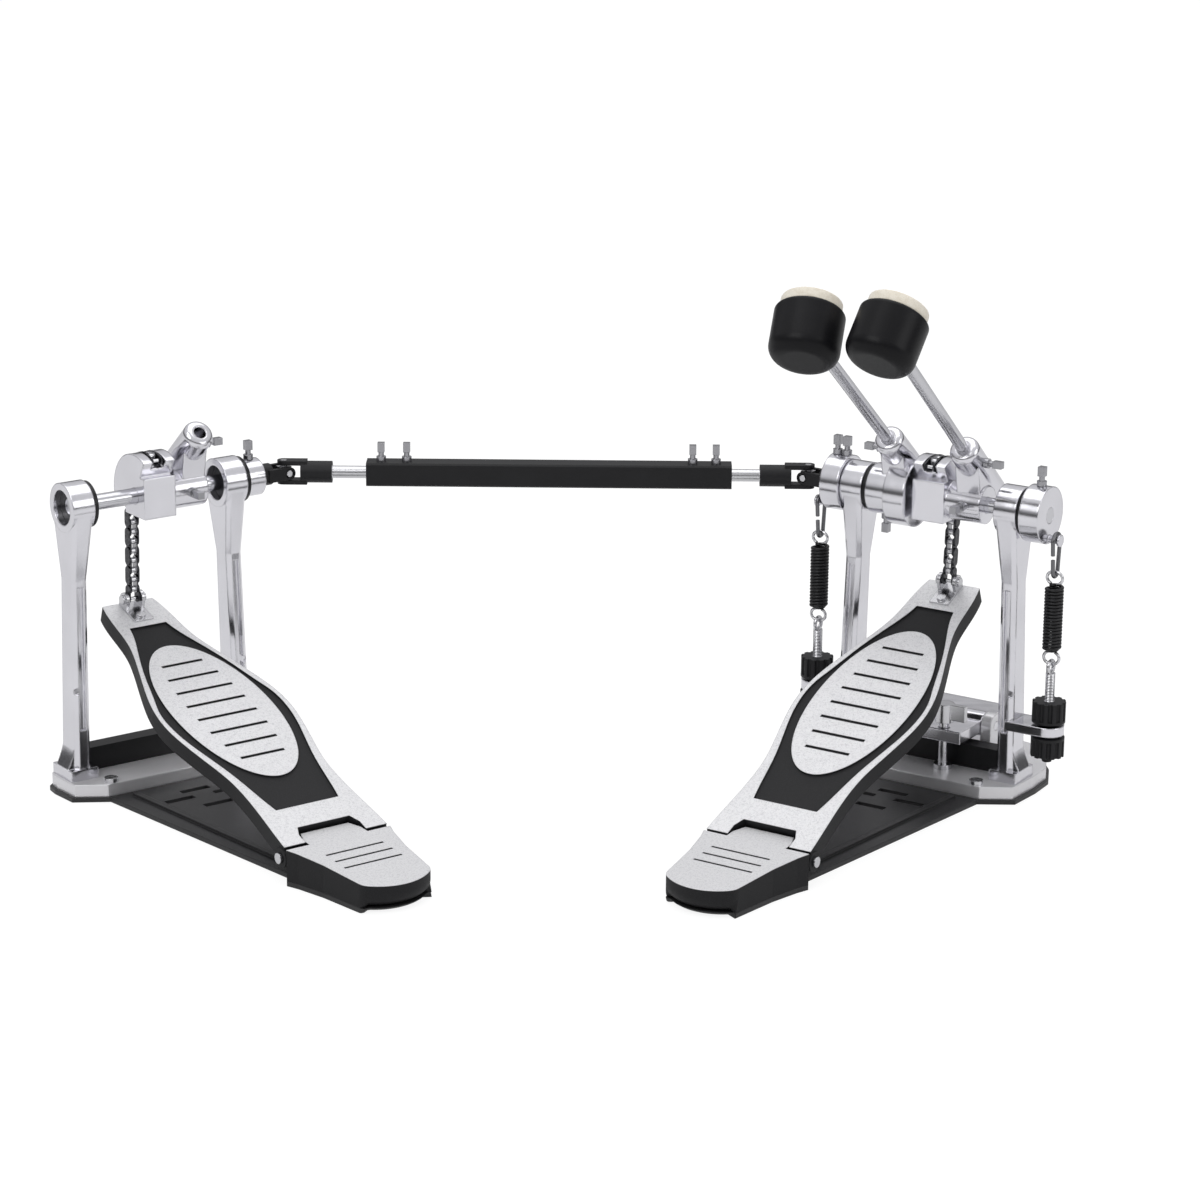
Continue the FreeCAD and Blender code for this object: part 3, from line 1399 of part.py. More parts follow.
def spring_hook(side):
    """Wire link from the pin of a spring cam to the top loop of its spring, open on one side."""
    fall = HOOK_TOP_Z - HOOK_LOW_Z
    lean = math.asin((HOOK_HALF_WIDTH - HOOK_LOW_R) / fall)
    high = Vector(side * SPRING_X, 0, HOOK_TOP_Z)
    low = Vector(side * SPRING_X, 0, HOOK_LOW_Z)
    right = Vector(0, math.cos(lean), math.sin(lean))
    left = Vector(0, -math.cos(lean), math.sin(lean))
    ends = (high + left * HOOK_HALF_WIDTH, low + left * HOOK_LOW_R)
    upper_tip = ends[0] + (ends[1] - ends[0]) * HOOK_OPEN_SHARES[0]
    lower_tip = ends[0] + (ends[1] - ends[0]) * HOOK_OPEN_SHARES[1]
    edges = [
        Part.LineSegment(upper_tip, ends[0]).toShape(),
        Part.Arc(ends[0], high + Z_AXIS * HOOK_HALF_WIDTH, high + right * HOOK_HALF_WIDTH).toShape(),
        Part.LineSegment(high + right * HOOK_HALF_WIDTH, low + right * HOOK_LOW_R).toShape(),
        Part.Arc(low + right * HOOK_LOW_R, low - Z_AXIS * HOOK_LOW_R, ends[1]).toShape(),
        Part.LineSegment(ends[1], lower_tip).toShape(),
    ]
    return swept_wire(edges, upper_tip, ends[0] - upper_tip, HOOK_WIRE_R)


def gripped(start, end, relief_end):
    """A fluted adjuster nut whose face beside the ear falls away from its middle."""
    along = (end - start).normalize()
    body = join(
        taper(start, relief_end, ADJUSTER_ROD_R + LOOSE_CLEARANCE, ADJUSTER_R),
        rod(relief_end, end, ADJUSTER_R),
    )
    for number in range(ADJUSTER_GRIPS):
        angle = 2 * math.pi * number / ADJUSTER_GRIPS
        offset = Vector(math.cos(angle), math.sin(angle), 0) * ADJUSTER_R
        low = relief_end + along * ADJUSTER_RELIEF + offset
        body = body.cut(rod(low, end + along * OVERRUN + offset, ADJUSTER_GRIP_R))
    return body.cut(rod(start, end, ADJUSTER_ROD_R + SEAT_CLEARANCE))


def spring_adjuster(side):
    """Eyebolt with a lock collar above the ear and a tension nut below it."""
    axis = Vector(side * SPRING_X, 0, 0)
    eye = Part.makeTorus(EYE_R, EYE_WIRE_R, axis + Z_AXIS * EYE_Z, X_AXIS)
    stem = rod(
        axis + Z_AXIS * (EAR_LOW - ADJUSTER_NUT - ADJUSTER_TAIL),
        axis + Z_AXIS * (EYE_Z - EYE_R),
        ADJUSTER_ROD_R,
    )
    collar = gripped(
        axis + Z_AXIS * EAR_TOP,
        axis + Z_AXIS * (EAR_TOP + ADJUSTER_COLLAR),
        axis + Z_AXIS * (EAR_TOP + ADJUSTER_RELIEF),
    )
    nut = gripped(
        axis + Z_AXIS * EAR_LOW,
        axis + Z_AXIS * (EAR_LOW - ADJUSTER_NUT),
        axis + Z_AXIS * (EAR_LOW - ADJUSTER_RELIEF),
    )
    return Part.makeCompound([join(stem, eye), collar, nut])


def jaw_lug():
    """Right-hand lug that carries the hoop jaw."""
    x_range = (JAW_HALF_WIDTH + LOOSE_CLEARANCE, JAW_HALF_WIDTH + LOOSE_CLEARANCE + LUG_WIDTH)
    plate = block(
        x_range,
        (JAW_PIVOT_Y - LUG_HALF_DEPTH, JAW_PIVOT_Y + LUG_HALF_DEPTH),
        (FRAME_TOP, JAW_PIVOT_Z),
    )
    start = Vector(x_range[0], JAW_PIVOT_Y, JAW_PIVOT_Z)
    end = Vector(x_range[1], JAW_PIVOT_Y, JAW_PIVOT_Z)
    crown = rod(start, end, LUG_HALF_DEPTH)
    return join(plate, crown).cut(rod(start, end, JAW_PIVOT_R + RUNNING_CLEARANCE))


def hoop_jaw():
    """Rocking jaw that holds the drum hoop down on the nose of the base."""
    half = JAW_THICKNESS / 2
    tail = JAW_PIVOT_Y - JAW_TAIL
    nose = JAW_PIVOT_Y + JAW_NOSE
    outline = [
        Vector(-JAW_HALF_WIDTH, tail, JAW_PIVOT_Z - half),
        Vector(-JAW_HALF_WIDTH, nose - JAW_LIP, JAW_PIVOT_Z - half),
        Vector(-JAW_HALF_WIDTH, nose - JAW_LIP, JAW_PIVOT_Z - half - JAW_LIP_DROP),
        Vector(-JAW_HALF_WIDTH, nose, JAW_PIVOT_Z - half - JAW_LIP_DROP),
        Vector(-JAW_HALF_WIDTH, nose, JAW_PIVOT_Z),
        Vector(-JAW_HALF_WIDTH, nose - JAW_LIP, JAW_PIVOT_Z + half),
        Vector(-JAW_HALF_WIDTH, tail, JAW_PIVOT_Z + half),
    ]
    plate = prism(outline, X_AXIS * (2 * JAW_HALF_WIDTH))
    pivot_half = JAW_HALF_WIDTH + LOOSE_CLEARANCE + LUG_WIDTH
    boss = rod(
        Vector(-JAW_HALF_WIDTH, JAW_PIVOT_Y, JAW_PIVOT_Z),
        Vector(JAW_HALF_WIDTH, JAW_PIVOT_Y, JAW_PIVOT_Z),
        LUG_HALF_DEPTH,
    )
    pivot = rod(
        Vector(-pivot_half, JAW_PIVOT_Y, JAW_PIVOT_Z),
        Vector(pivot_half, JAW_PIVOT_Y, JAW_PIVOT_Z),
        JAW_PIVOT_R,
    )
    foot = Vector(CLAMP_SCREW_X, CLAMP_SCREW_Y, 0)
    hole = rod(
        foot,
        foot + Z_AXIS * (JAW_PIVOT_Z + JAW_THICKNESS),
        CLAMP_SCREW_R + OPEN_PIVOT_CLEARANCE,
    )
    return join(plate, boss, pivot).cut(hole)


def clamp_screw():
    """Wing screw that stands on the cast frame and lifts the tail of the jaw."""
    foot = Vector(CLAMP_SCREW_X, CLAMP_SCREW_Y, FRAME_TOP + SEAT_CLEARANCE)
    head_z = JAW_PIVOT_Z + JAW_THICKNESS / 2 + CLAMP_HEAD_GAP
    head = Vector(foot.x, foot.y, head_z)
    half = CLAMP_WING_THICKNESS / 2
    wing = block(
        (foot.x - CLAMP_WING_HALF, foot.x + CLAMP_WING_HALF),
        (foot.y - half, foot.y + half),
        (head_z + half, head_z + CLAMP_WING_HEIGHT),
    )
    return join(
        rod(foot, foot + Z_AXIS * CLAMP_PAD, CLAMP_PAD_R),
        rod(foot, head, CLAMP_SCREW_R),
        rod(head, head + Z_AXIS * CLAMP_WING_HEIGHT, CLAMP_HEAD_R),
        wing,
    )


def pedal_frame(name, base_front, with_spring_gear):
    """Frame pieces that both pedals have, in the pedal's own frame."""
    right = upright(with_spring_gear)
    bearings = [bearing(True), mirrored(bearing(False))]
    return {
        name + "_base_plate": base_plate(base_front),
        name + "_heel": heel(),
        name + "_frame_base": frame_base(base_front, with_spring_gear),
        name + "_right_upright": right,
        name + "_left_upright": mirrored(right),
        name + "_cross_bar": cross_bar(),
        name + "_bearings": Part.makeCompound(bearings),
        name + "_frame_fasteners": frame_fasteners(),
    }


def pedal_drive(name, slope_deg):
    """Footboard, chain and cam of a pedal, in the pedal's own frame."""
    place = board_place(slope_deg)
    pins, run_links = chain_pins(place.multVec(anchor_point()))
    lift_end = run_links + LIFT_LINKS
    return {
        name + "_footboard": moved(footboard(), place),
        name + "_chain_anchor": moved(chain_anchor(), place),
        name + "_chain_run": chain_links(pins, 0, run_links),
        name + "_chain_lift": chain_links(pins, run_links, lift_end),
        name + "_chain_wrap": chain_links(pins, lift_end, lift_end + WRAP_LINKS),
        name + "_cam": cam(),
    }


def main_pedal():
    """Pieces of the main pedal, with both beaters and both return springs."""
    pieces = pedal_frame("main", MAIN_BASE_FRONT, True)
    pieces.update(pedal_drive("main", MAIN_SLOPE_DEG))
    pieces["main_axle"] = main_axle()
    pieces["main_spring_cam"] = spring_cam(RIGHT_CAM_X, right_spring_bolts(), 1)
    pieces["main_key_bolts"] = bolt_group(cam_bolts(), holder_bolts(1), right_spring_bolts())
    pieces["stub_axle"] = stub_axle()
    pieces["slave_drive_hub"] = drive_hub()
    pieces["slave_spring_cam"] = spring_cam(LEFT_CAM_X, left_spring_bolts(), -1)
    pieces["stub_key_bolts"] = bolt_group(drive_hub_bolts(), holder_bolts(-1), left_spring_bolts())
    for name, side in (("main", 1), ("slave", -1)):
        pieces[name + "_beater_rod"] = beater_rod(side)
        pieces[name + "_beater_head"] = beater_head(side)
        pieces[name + "_beater_felt"] = beater_felt(side)
        pieces[name + "_spring"] = spring(side)
        pieces[name + "_spring_hook"] = spring_hook(side)
        pieces[name + "_spring_adjuster"] = spring_adjuster(side)
    pieces["hoop_jaw"] = hoop_jaw()
    pieces["clamp_screw"] = clamp_screw()
    cross = joint_cross()
    cross.translate(axle_point(-MAIN_JOINT_REACH))
    pieces["main_joint_cross"] = cross
    return pieces


def slave_pedal():
    """Pieces of the slave pedal."""
    pieces = pedal_frame("slave", SLAVE_BASE_FRONT, False)
    pieces.update(pedal_drive("slave", SLAVE_SLOPE_DEG))
    pieces["slave_axle"] = slave_axle()
    pieces["slave_collar"] = slave_collar()
    pieces["slave_yoke"] = slave_yoke()
    pieces["slave_key_bolts"] = bolt_group(cam_bolts(), holder_bolts(1), collar_bolts())
    cross = joint_cross()
    cross.translate(axle_point(SLAVE_JOINT_REACH))
    pieces["slave_joint_cross"] = cross
    return pieces


def drive_shaft():
    """Pieces of the drive shaft, in the frame of the whole object."""
    level = FreeCAD.Rotation()
    half_turn = FreeCAD.Rotation(Z_AXIS, FULL_TURN_DEG / 2)
    tube_place = FreeCAD.Placement(SLAVE_JOINT + X_AXIS * TUBE_SLAVE_GAP, level)
    return {
        "shaft_tube": moved(shaft_tube(), tube_place),
        "shaft_clamp_screws": moved(bolt_group(tube_bolts()), tube_place),
        "shaft_slave_arm": moved(shaft_arm(TUBE_SLAVE_GAP), FreeCAD.Placement(SLAVE_JOINT, level)),
        "shaft_main_arm": moved(shaft_arm(TUBE_MAIN_GAP), FreeCAD.Placement(MAIN_JOINT, half_turn)),
    }


def main():
    """Write every piece to its own file."""
    os.makedirs("parts", exist_ok=True)
    pieces = {name: moved(shape, MAIN_PLACE) for name, shape in main_pedal().items()}
    pieces.update({name: moved(shape, SLAVE_PLACE) for name, shape in slave_pedal().items()})
    pieces.update(drive_shaft())
    for name, shape in pieces.items():
        shape.exportStep(os.path.join("parts", name + ".step"))
    print(len(pieces), "pieces")


main()
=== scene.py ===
"""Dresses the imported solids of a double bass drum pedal: finishes, springs, felts, studio and camera."""

from __future__ import annotations

import json
import logging
import math
from dataclasses import dataclass, field
from enum import Enum
from typing import Any, Union

import bpy
from mathutils import Euler, Matrix, Vector

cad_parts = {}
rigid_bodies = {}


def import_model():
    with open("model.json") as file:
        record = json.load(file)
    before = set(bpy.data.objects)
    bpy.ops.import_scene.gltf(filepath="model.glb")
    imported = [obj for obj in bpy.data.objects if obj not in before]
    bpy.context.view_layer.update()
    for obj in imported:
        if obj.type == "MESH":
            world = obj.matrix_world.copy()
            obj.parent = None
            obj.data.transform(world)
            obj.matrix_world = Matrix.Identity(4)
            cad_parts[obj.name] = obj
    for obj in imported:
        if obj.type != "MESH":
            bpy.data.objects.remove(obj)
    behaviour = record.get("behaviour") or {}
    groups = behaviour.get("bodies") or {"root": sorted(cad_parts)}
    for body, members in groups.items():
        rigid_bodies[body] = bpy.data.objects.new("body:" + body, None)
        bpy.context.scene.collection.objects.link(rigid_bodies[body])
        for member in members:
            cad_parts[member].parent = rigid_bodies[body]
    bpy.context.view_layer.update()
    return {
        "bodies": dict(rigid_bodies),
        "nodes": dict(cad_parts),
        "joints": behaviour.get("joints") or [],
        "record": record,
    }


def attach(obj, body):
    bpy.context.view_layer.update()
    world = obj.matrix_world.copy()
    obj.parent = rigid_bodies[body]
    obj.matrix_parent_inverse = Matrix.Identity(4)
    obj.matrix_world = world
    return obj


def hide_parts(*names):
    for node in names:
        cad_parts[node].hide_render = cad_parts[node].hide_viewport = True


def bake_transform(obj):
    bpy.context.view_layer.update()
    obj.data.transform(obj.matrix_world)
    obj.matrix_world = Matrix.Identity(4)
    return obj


LOG = logging.getLogger("pedal")
Colour = tuple[float, float, float]
Range = tuple[float, float]
Settings = dict[str, Any]
Inputs = dict[Any, Any]

# Octaves and middle level of the noise in the finishes
PLAIN_DETAIL = 1.0
FINE_DETAIL = 2.0
RICH_DETAIL = 3.0
FIBRE_DETAIL = 4.0
NOISE_ROUGHNESS = 0.55
NOISE_MIDDLE = 0.5


class Pedal(Enum):
    """The two pedals; each value starts the names of that pedal's nodes and bodies."""

    MAIN = "main"
    SLAVE = "slave"


# Side of the main frame on which each pedal's beater and spring stand
SIDES = {Pedal.MAIN: 1.0, Pedal.SLAVE: -1.0}
BOARD_SLOPES = {Pedal.MAIN: math.radians(22.2), Pedal.SLAVE: math.radians(18.4)}
BEATER_X = 0.026
BEATER_TILTS = {Pedal.MAIN: math.radians(48.8), Pedal.SLAVE: math.radians(50.5)}
BEATER_TWISTS = {Pedal.MAIN: 0.0, Pedal.SLAVE: math.radians(12.0)}


class Signal:
    """One number that changes over a surface, with Python's operators."""

    def __init__(self, graph: "Graph", socket: bpy.types.NodeSocket) -> None:
        """Wraps an output socket.

        Args:
            graph: The material's node graph.
            socket: The output socket that carries the number.
        """
        self.graph = graph
        self.socket = socket

    def __add__(self, other: "Value") -> "Signal":
        """Sum."""
        return self.graph.math("ADD", self, other)

    def __radd__(self, other: float) -> "Signal":
        """Sum, reflected."""
        return self.graph.math("ADD", other, self)

    def __sub__(self, other: "Value") -> "Signal":
        """Difference."""
        return self.graph.math("SUBTRACT", self, other)

    def __rsub__(self, other: float) -> "Signal":
        """Difference, reflected."""
        return self.graph.math("SUBTRACT", other, self)

    def __mul__(self, other: "Value") -> "Signal":
        """Product."""
        return self.graph.math("MULTIPLY", self, other)

    def __rmul__(self, other: float) -> "Signal":
        """Product, reflected."""
        return self.graph.math("MULTIPLY", other, self)

    def __truediv__(self, other: "Value") -> "Signal":
        """Quotient."""
        return self.graph.math("DIVIDE", self, other)

    def __pow__(self, other: "Value") -> "Signal":
        """Power."""
        return self.graph.math("POWER", self, other)

    def __abs__(self) -> "Signal":
        """Size without sign."""
        return self.graph.math("ABSOLUTE", self)

    def rise(self, low: float, high: float) -> "Signal":
        """Smooth step from 0 to 1.

        Args:
            low: The number at which the step starts.
            high: The number at which the step ends.

        Returns:
            The step.
        """
        settings = {"interpolation_type": "SMOOTHSTEP"}
        inputs = {"Value": self, "From Min": low, "From Max": high}
        return Signal(self.graph, self.graph.node("ShaderNodeMapRange", settings, inputs).outputs[0])


Value = Union[Signal, float]


class Graph:
    """The node graph of one material."""

    def __init__(self, name: str) -> None:
        """Starts an empty graph.

        Args:
            name: The material's name.
        """
        self.material = bpy.data.materials.new(name)
        self.material.use_nodes = True
        self.tree = self.material.node_tree
        self.tree.nodes.clear()

    def node(
        self, kind: str, settings: Settings | None = None, inputs: Inputs | None = None
    ) -> bpy.types.Node:
        """Adds a node.

        Args:
            kind: The node's type.
            settings: Properties to set first.
            inputs: Values or links by socket name or number.

        Returns:
            The node.
        """
        made = self.tree.nodes.new(kind)
        for key, value in (settings or {}).items():
            setattr(made, key, value)
        for key, value in (inputs or {}).items():
            target = made.inputs[key]
            if isinstance(value, Signal):
                self.tree.links.new(value.socket, target)
            elif isinstance(value, bpy.types.NodeSocket):
                self.tree.links.new(value, target)
            else:
                target.default_value = value
        return made

    def math(self, operation: str, *values: Value) -> Signal:
        """Adds a Math node and returns its result."""
        made = self.node("ShaderNodeMath", {"operation": operation}, dict(enumerate(values)))
        return Signal(self, made.outputs[0])

    def place(self, origin: Vector | None = None, turn: Euler | None = None) -> bpy.types.NodeSocket:
        """Object coordinates, or those of a frame on the object.

        Args:
            origin: The frame's origin.
            turn: The frame's rotation.

        Returns:
            A vector socket, in metres.
        """
        where = self.node("ShaderNodeTexCoord").outputs["Object"]
        if origin is None:
            return where
        inputs = {"Vector": where, "Location": origin, "Rotation": turn or Euler()}
        return self.node("ShaderNodeMapping", {"vector_type": "TEXTURE"}, inputs).outputs[0]

    def split(self, vector: bpy.types.NodeSocket) -> tuple[Signal, Signal, Signal]:
        """The three numbers of a vector."""
        made = self.node("ShaderNodeSeparateXYZ", None, {0: vector})
        return tuple(Signal(self, out) for out in made.outputs)

    def drawn_out(self, where: bpy.types.NodeSocket, share: float) -> bpy.types.NodeSocket:
        """Coordinates in which a pattern is drawn out along z, with a share of z left."""
        inputs = {"Vector": where, "Scale": (1.0, 1.0, share)}
        return self.node("ShaderNodeMapping", None, inputs).outputs[0]

    def noise(self, where: bpy.types.NodeSocket, grain: float, detail: float = FINE_DETAIL) -> Signal:
        """Cloudy noise between 0 and 1, with features of a grain in metres."""
        inputs = {"Vector": where, "Scale": 1 / grain, "Detail": detail, "Roughness": NOISE_ROUGHNESS}
        return Signal(self, self.node("ShaderNodeTexNoise", None, inputs).outputs[0])

    def cells(self, where: bpy.types.NodeSocket, grain: float) -> Signal:
        """Random number of each flake of a sparkling surface.

        Args:
            where: The coordinates.
            grain: Size of a flake, in metres.

        Returns:
            The number, 0 to 1.
        """
        made = self.node("ShaderNodeTexVoronoi", None, {"Vector": where, "Scale": 1 / grain})
        parts = self.node("ShaderNodeSeparateColor", None, {0: made.outputs["Color"]})
        return Signal(self, parts.outputs[0])

    def tint(self, low: Any, high: Any, share: Value) -> bpy.types.NodeSocket:
        """Mixes two colours.

        Args:
            low: Colour or socket at share 0.
            high: Colour or socket at share 1.
            share: The share of the second colour.

        Returns:
            A colour socket.
        """
        ends = [(*c, 1.0) if isinstance(c, tuple) else c for c in (low, high)]
        made = self.node("ShaderNodeMix", {"data_type": "RGBA"}, {0: share, 6: ends[0], 7: ends[1]})
        return made.outputs[2]

    def relief(self, height: Signal, depth: float, edge: float) -> bpy.types.NodeSocket:
        """Normal of a rounded and slightly uneven surface.

        Args:
            height: The relief, 0 to 1.
            depth: Its depth in metres.
            edge: Radius of the rounded edges in metres.

        Returns:
            A normal socket.
        """
        rounded = self.node("ShaderNodeBevel", {"samples": 6}, {"Radius": edge}).outputs[0]
        inputs = {"Strength": 1.0, "Distance": depth, "Height": height, "Normal": rounded}
        return self.node("ShaderNodeBump", None, inputs).outputs[0]

    def surface(self, **sockets: Any) -> bpy.types.Material:
        """Ends the graph in a Principled shader.

        Args:
            **sockets: Values or links, by socket name with _ for a space.

        Returns:
            The material.
        """
        inputs = {}
        for name, value in sockets.items():
            key = " ".join(word if word == "IOR" else word.capitalize() for word in name.split("_"))
            inputs[key] = (*value, 1.0) if isinstance(value, tuple) else value
        shader = self.node("ShaderNodeBsdfPrincipled", None, inputs)
        self.node("ShaderNodeOutputMaterial", None, {"Surface": shader.outputs[0]})
        return self.material


@dataclass(frozen=True)
class PedalFrame:
    """Where one pedal stands: x along its axle, y towards the drum."""

    origin: Vector
    turn: float
    slope: float
    hinge_y: float = -0.210
    hinge_z: float = 0.0155

    def matrix(self) -> Matrix:
        """From the pedal's frame to the object's."""
        return Matrix.Translation(self.origin) @ Matrix.Rotation(self.turn, 4, "Z")

    def level(self) -> tuple[Vector, Euler]:
        """Origin and rotation of the pedal's own frame."""
        return self.origin, Euler((0.0, 0.0, self.turn))

    def board(self) -> tuple[Vector, Euler]:
        """Origin and rotation of the footboard's frame, at its hinge."""
        hinge = self.matrix() @ Vector((0.0, self.hinge_y, self.hinge_z))
        return hinge, Euler((self.slope, 0.0, self.turn))


@dataclass(frozen=True)
class Plating:
    """Polished plating over a casting, soft enough to blur what it mirrors."""

    name: str
    colour: Colour = (0.79, 0.785, 0.825)
    roughness: float = 0.13
    wave: float = 0.00035
    edge: float = 0.0014
    metallic: float = 1.0
    wave_length: float = 0.016
    wave_share: float = 0.16
    haze_size: float = 0.03
    haze_range: Range = (0.25, 0.75)
    haze_shade: float = 0.93
    haze_roughness: float = 0.04
    grain_size: float = 0.0006
    grain_roughness: float = 0.02

    def material(self) -> bpy.types.Material:
        """Builds the plating.

        Returns:
            The material.
        """
        graph = Graph(self.name)
        where = graph.place()
        swell = graph.noise(graph.drawn_out(where, self.wave_share), self.wave_length, PLAIN_DETAIL)
        haze = graph.noise(where, self.haze_size, RICH_DETAIL)
        grain = graph.noise(where, self.grain_size)
        dull = tuple(self.haze_shade * c for c in self.colour)
        return graph.surface(
            base_color=graph.tint(dull, self.colour, haze.rise(*self.haze_range)),
            metallic=self.metallic,
            roughness=self.roughness + self.haze_roughness * haze + self.grain_roughness * grain,
            normal=graph.relief(swell, self.wave, self.edge),
        )


@dataclass(frozen=True)
class Paint:
    """Black coating or moulding with a fine grain and paler rubbed spots."""

    name: str
    colour: Colour
    roughness: float
    grain: float = 0.0007
    depth: float = 0.00003
    edge: float = 0.0010
    gloss: float = 0.3
    cloud_size: float = 0.03
    cloud_range: Range = (0.35, 0.8)
    cloud_tint: float = 0.6
    cloud_roughness: float = 0.12
    grain_tint: float = 0.25
    grain_roughness: float = 0.08
    paling: float = 1.7
    pale_level: float = 0.002

    def material(self) -> bpy.types.Material:
        """Builds the coating.

        Returns:
            The material.
        """
        graph = Graph(self.name)
        where = graph.place()
        fine = graph.noise(where, self.grain)
        cloud = graph.noise(where, self.cloud_size, RICH_DETAIL)
        pale = tuple(self.paling * c + self.pale_level for c in self.colour)
        rubbed = cloud.rise(*self.cloud_range) * self.cloud_tint + fine * self.grain_tint
        uneven = self.roughness + self.cloud_roughness * (cloud - NOISE_MIDDLE)
        return graph.surface(
            base_color=graph.tint(self.colour, pale, rubbed),
            specular_IOR_level=self.gloss,
            roughness=uneven + self.grain_roughness * (fine - NOISE_MIDDLE),
            normal=graph.relief(fine, self.depth, self.edge),
        )


@dataclass(frozen=True)
class BoardTop:
    """Sparkling satin silver on the raised top of a board, black everywhere below it."""

    name: str
    origin: Vector
    turn: Euler
    top: float
    lip: float = 0.0004
    silver: Colour = (0.80, 0.80, 0.81)
    dark_silver: Colour = (0.60, 0.60, 0.615)
    black: Colour = (0.009, 0.009, 0.010)
    coarsening: float = 2.2
    flake_size: float = 0.0005
    flake_tint: float = 0.5
    mottle_size: float = 0.0016
    mottle_tint: float = 0.9
    silver_range: Range = (0.25, 0.85)
    grit_size: float = 0.0005
    grit_range: Range = (0.4, 0.8)
    grit_roughness: float = 0.12
    grit_relief: float = 0.6
    mottle_relief: float = 0.4
    depth: float = 0.00006
    edge: float = 0.0009
    gloss: float = 0.25
    metallic: float = 0.15
    flake_metallic: float = 0.35
    black_roughness: float = 0.55
    silver_smoothness: float = 0.13

    def material(self) -> bpy.types.Material:
        """Builds the two-colour finish; the frame's z is the height over the board.

        Returns:
            The material.
        """
        graph = Graph(self.name)
        local = graph.place(self.origin, self.turn)
        height = graph.split(local)[2]
        raised = height.rise(self.top - self.lip, self.top - self.lip / 4)
        flake = graph.cells(local, self.flake_size)
        mottle = graph.noise(local, self.mottle_size, RICH_DETAIL)
        grit = graph.noise(local, self.grit_size)
        sparkle = (flake * self.flake_tint + mottle * self.mottle_tint).rise(*self.silver_range)
        silver = graph.tint(self.dark_silver, self.silver, sparkle)
        coarse = tuple(self.coarsening * c for c in self.black)
        black = graph.tint(self.black, coarse, grit.rise(*self.grit_range))
        satin = self.black_roughness - raised * self.silver_smoothness
        bumps = grit * self.grit_relief + mottle * self.mottle_relief
        return graph.surface(
            base_color=graph.tint(black, silver, raised),
            metallic=raised * (self.metallic + self.flake_metallic * flake),
            specular_IOR_level=self.gloss,
            roughness=satin + self.grit_roughness * (grit - NOISE_MIDDLE),
            normal=graph.relief(bumps, self.depth, self.edge),
        )


@dataclass(frozen=True)
class ChainSteel:
    """Dark oiled link plates with bright rollers between them."""

    name: str
    origin: Vector
    turn: Euler
    roller_half: float = 0.00165
    roller_edge: float = 0.0001
    dark: Colour = (0.055, 0.055, 0.06)
    bright: Colour = (0.72, 0.72, 0.74)
    wear: float = 3.0
    film_size: float = 0.002
    film_range: Range = (0.45, 0.8)
    film_roughness: float = 0.15
    plate_roughness: float = 0.36
    roller_smoothness: float = 0.14
    depth: float = 0.00004
    edge: float = 0.0004

    def material(self) -> bpy.types.Material:
        """Builds the steel; the frame's x runs across the chain.

        Returns:
            The material.
        """
        graph = Graph(self.name)
        local = graph.place(self.origin, self.turn)
        across = abs(graph.split(local)[0])
        roller = 1 - across.rise(self.roller_half, self.roller_half + self.roller_edge)
        film = graph.noise(local, self.film_size, RICH_DETAIL)
        worn = tuple(self.wear * c for c in self.dark)
        plate = graph.tint(self.dark, worn, film.rise(*self.film_range))
        satin = self.plate_roughness - self.roller_smoothness * roller
        return graph.surface(
            base_color=graph.tint(plate, self.bright, roller),
            metallic=1.0,
            roughness=satin + self.film_roughness * (film - NOISE_MIDDLE),
            normal=graph.relief(film, self.depth, self.edge),
        )


@dataclass(frozen=True)
class BandedMetal:
    """Bright bar beside black fittings on one axis, as on a shaft arm or an adjuster."""

    name: str
    origin: Vector
    turn: Euler
    bar_radius: float
    bar_start: float
    thread: float = 0.0
    black: Colour = (0.008, 0.008, 0.009)
    bright: Colour = (0.66, 0.66, 0.68)
    wear: float = 1.8
    bar_margin: float = 0.0003
    start_edge: float = 0.0001
    fitting_range: Range = (0.0004, 0.0005)
    film_size: float = 0.004
    film_roughness: float = 0.12
    grain_size: float = 0.0006
    grain_relief: float = 0.1
    thread_relief: float = 0.9
    black_roughness: float = 0.46
    bar_smoothness: float = 0.24
    gloss: float = 0.3
    depth: float = 0.0003
    edge: float = 0.0008

    def material(self) -> bpy.types.Material:
        """Builds the banded metal; the frame's z is the bar's axis.

        Returns:
            The material.
        """
        graph = Graph(self.name)
        local = graph.place(self.origin, self.turn)
        x, y, z = graph.split(local)
        radius = (x * x + y * y) ** 0.5
        inside = 1 - radius.rise(self.bar_radius, self.bar_radius + self.bar_margin)
        bar = inside * z.rise(self.bar_start - self.start_edge, self.bar_start)
        beyond = z.rise(*(self.bar_start + step for step in self.fitting_range))
        metal = graph.math("MAXIMUM", bar, beyond)
        film = graph.noise(local, self.film_size, RICH_DETAIL)
        height = graph.noise(local, self.grain_size) * self.grain_relief
        if self.thread:
            half = self.thread / 2
            ridge = graph.math("PINGPONG", z, half) / half
            height = height + ridge * bar * self.thread_relief
        worn = tuple(self.wear * c for c in self.black)
        satin = self.black_roughness - self.bar_smoothness * metal
        return graph.surface(
            base_color=graph.tint(graph.tint(self.black, worn, film), self.bright, metal),
            metallic=metal,
            specular_IOR_level=self.gloss,
            roughness=satin + self.film_roughness * (film - NOISE_MIDDLE),
            normal=graph.relief(height, self.depth, self.edge),
        )


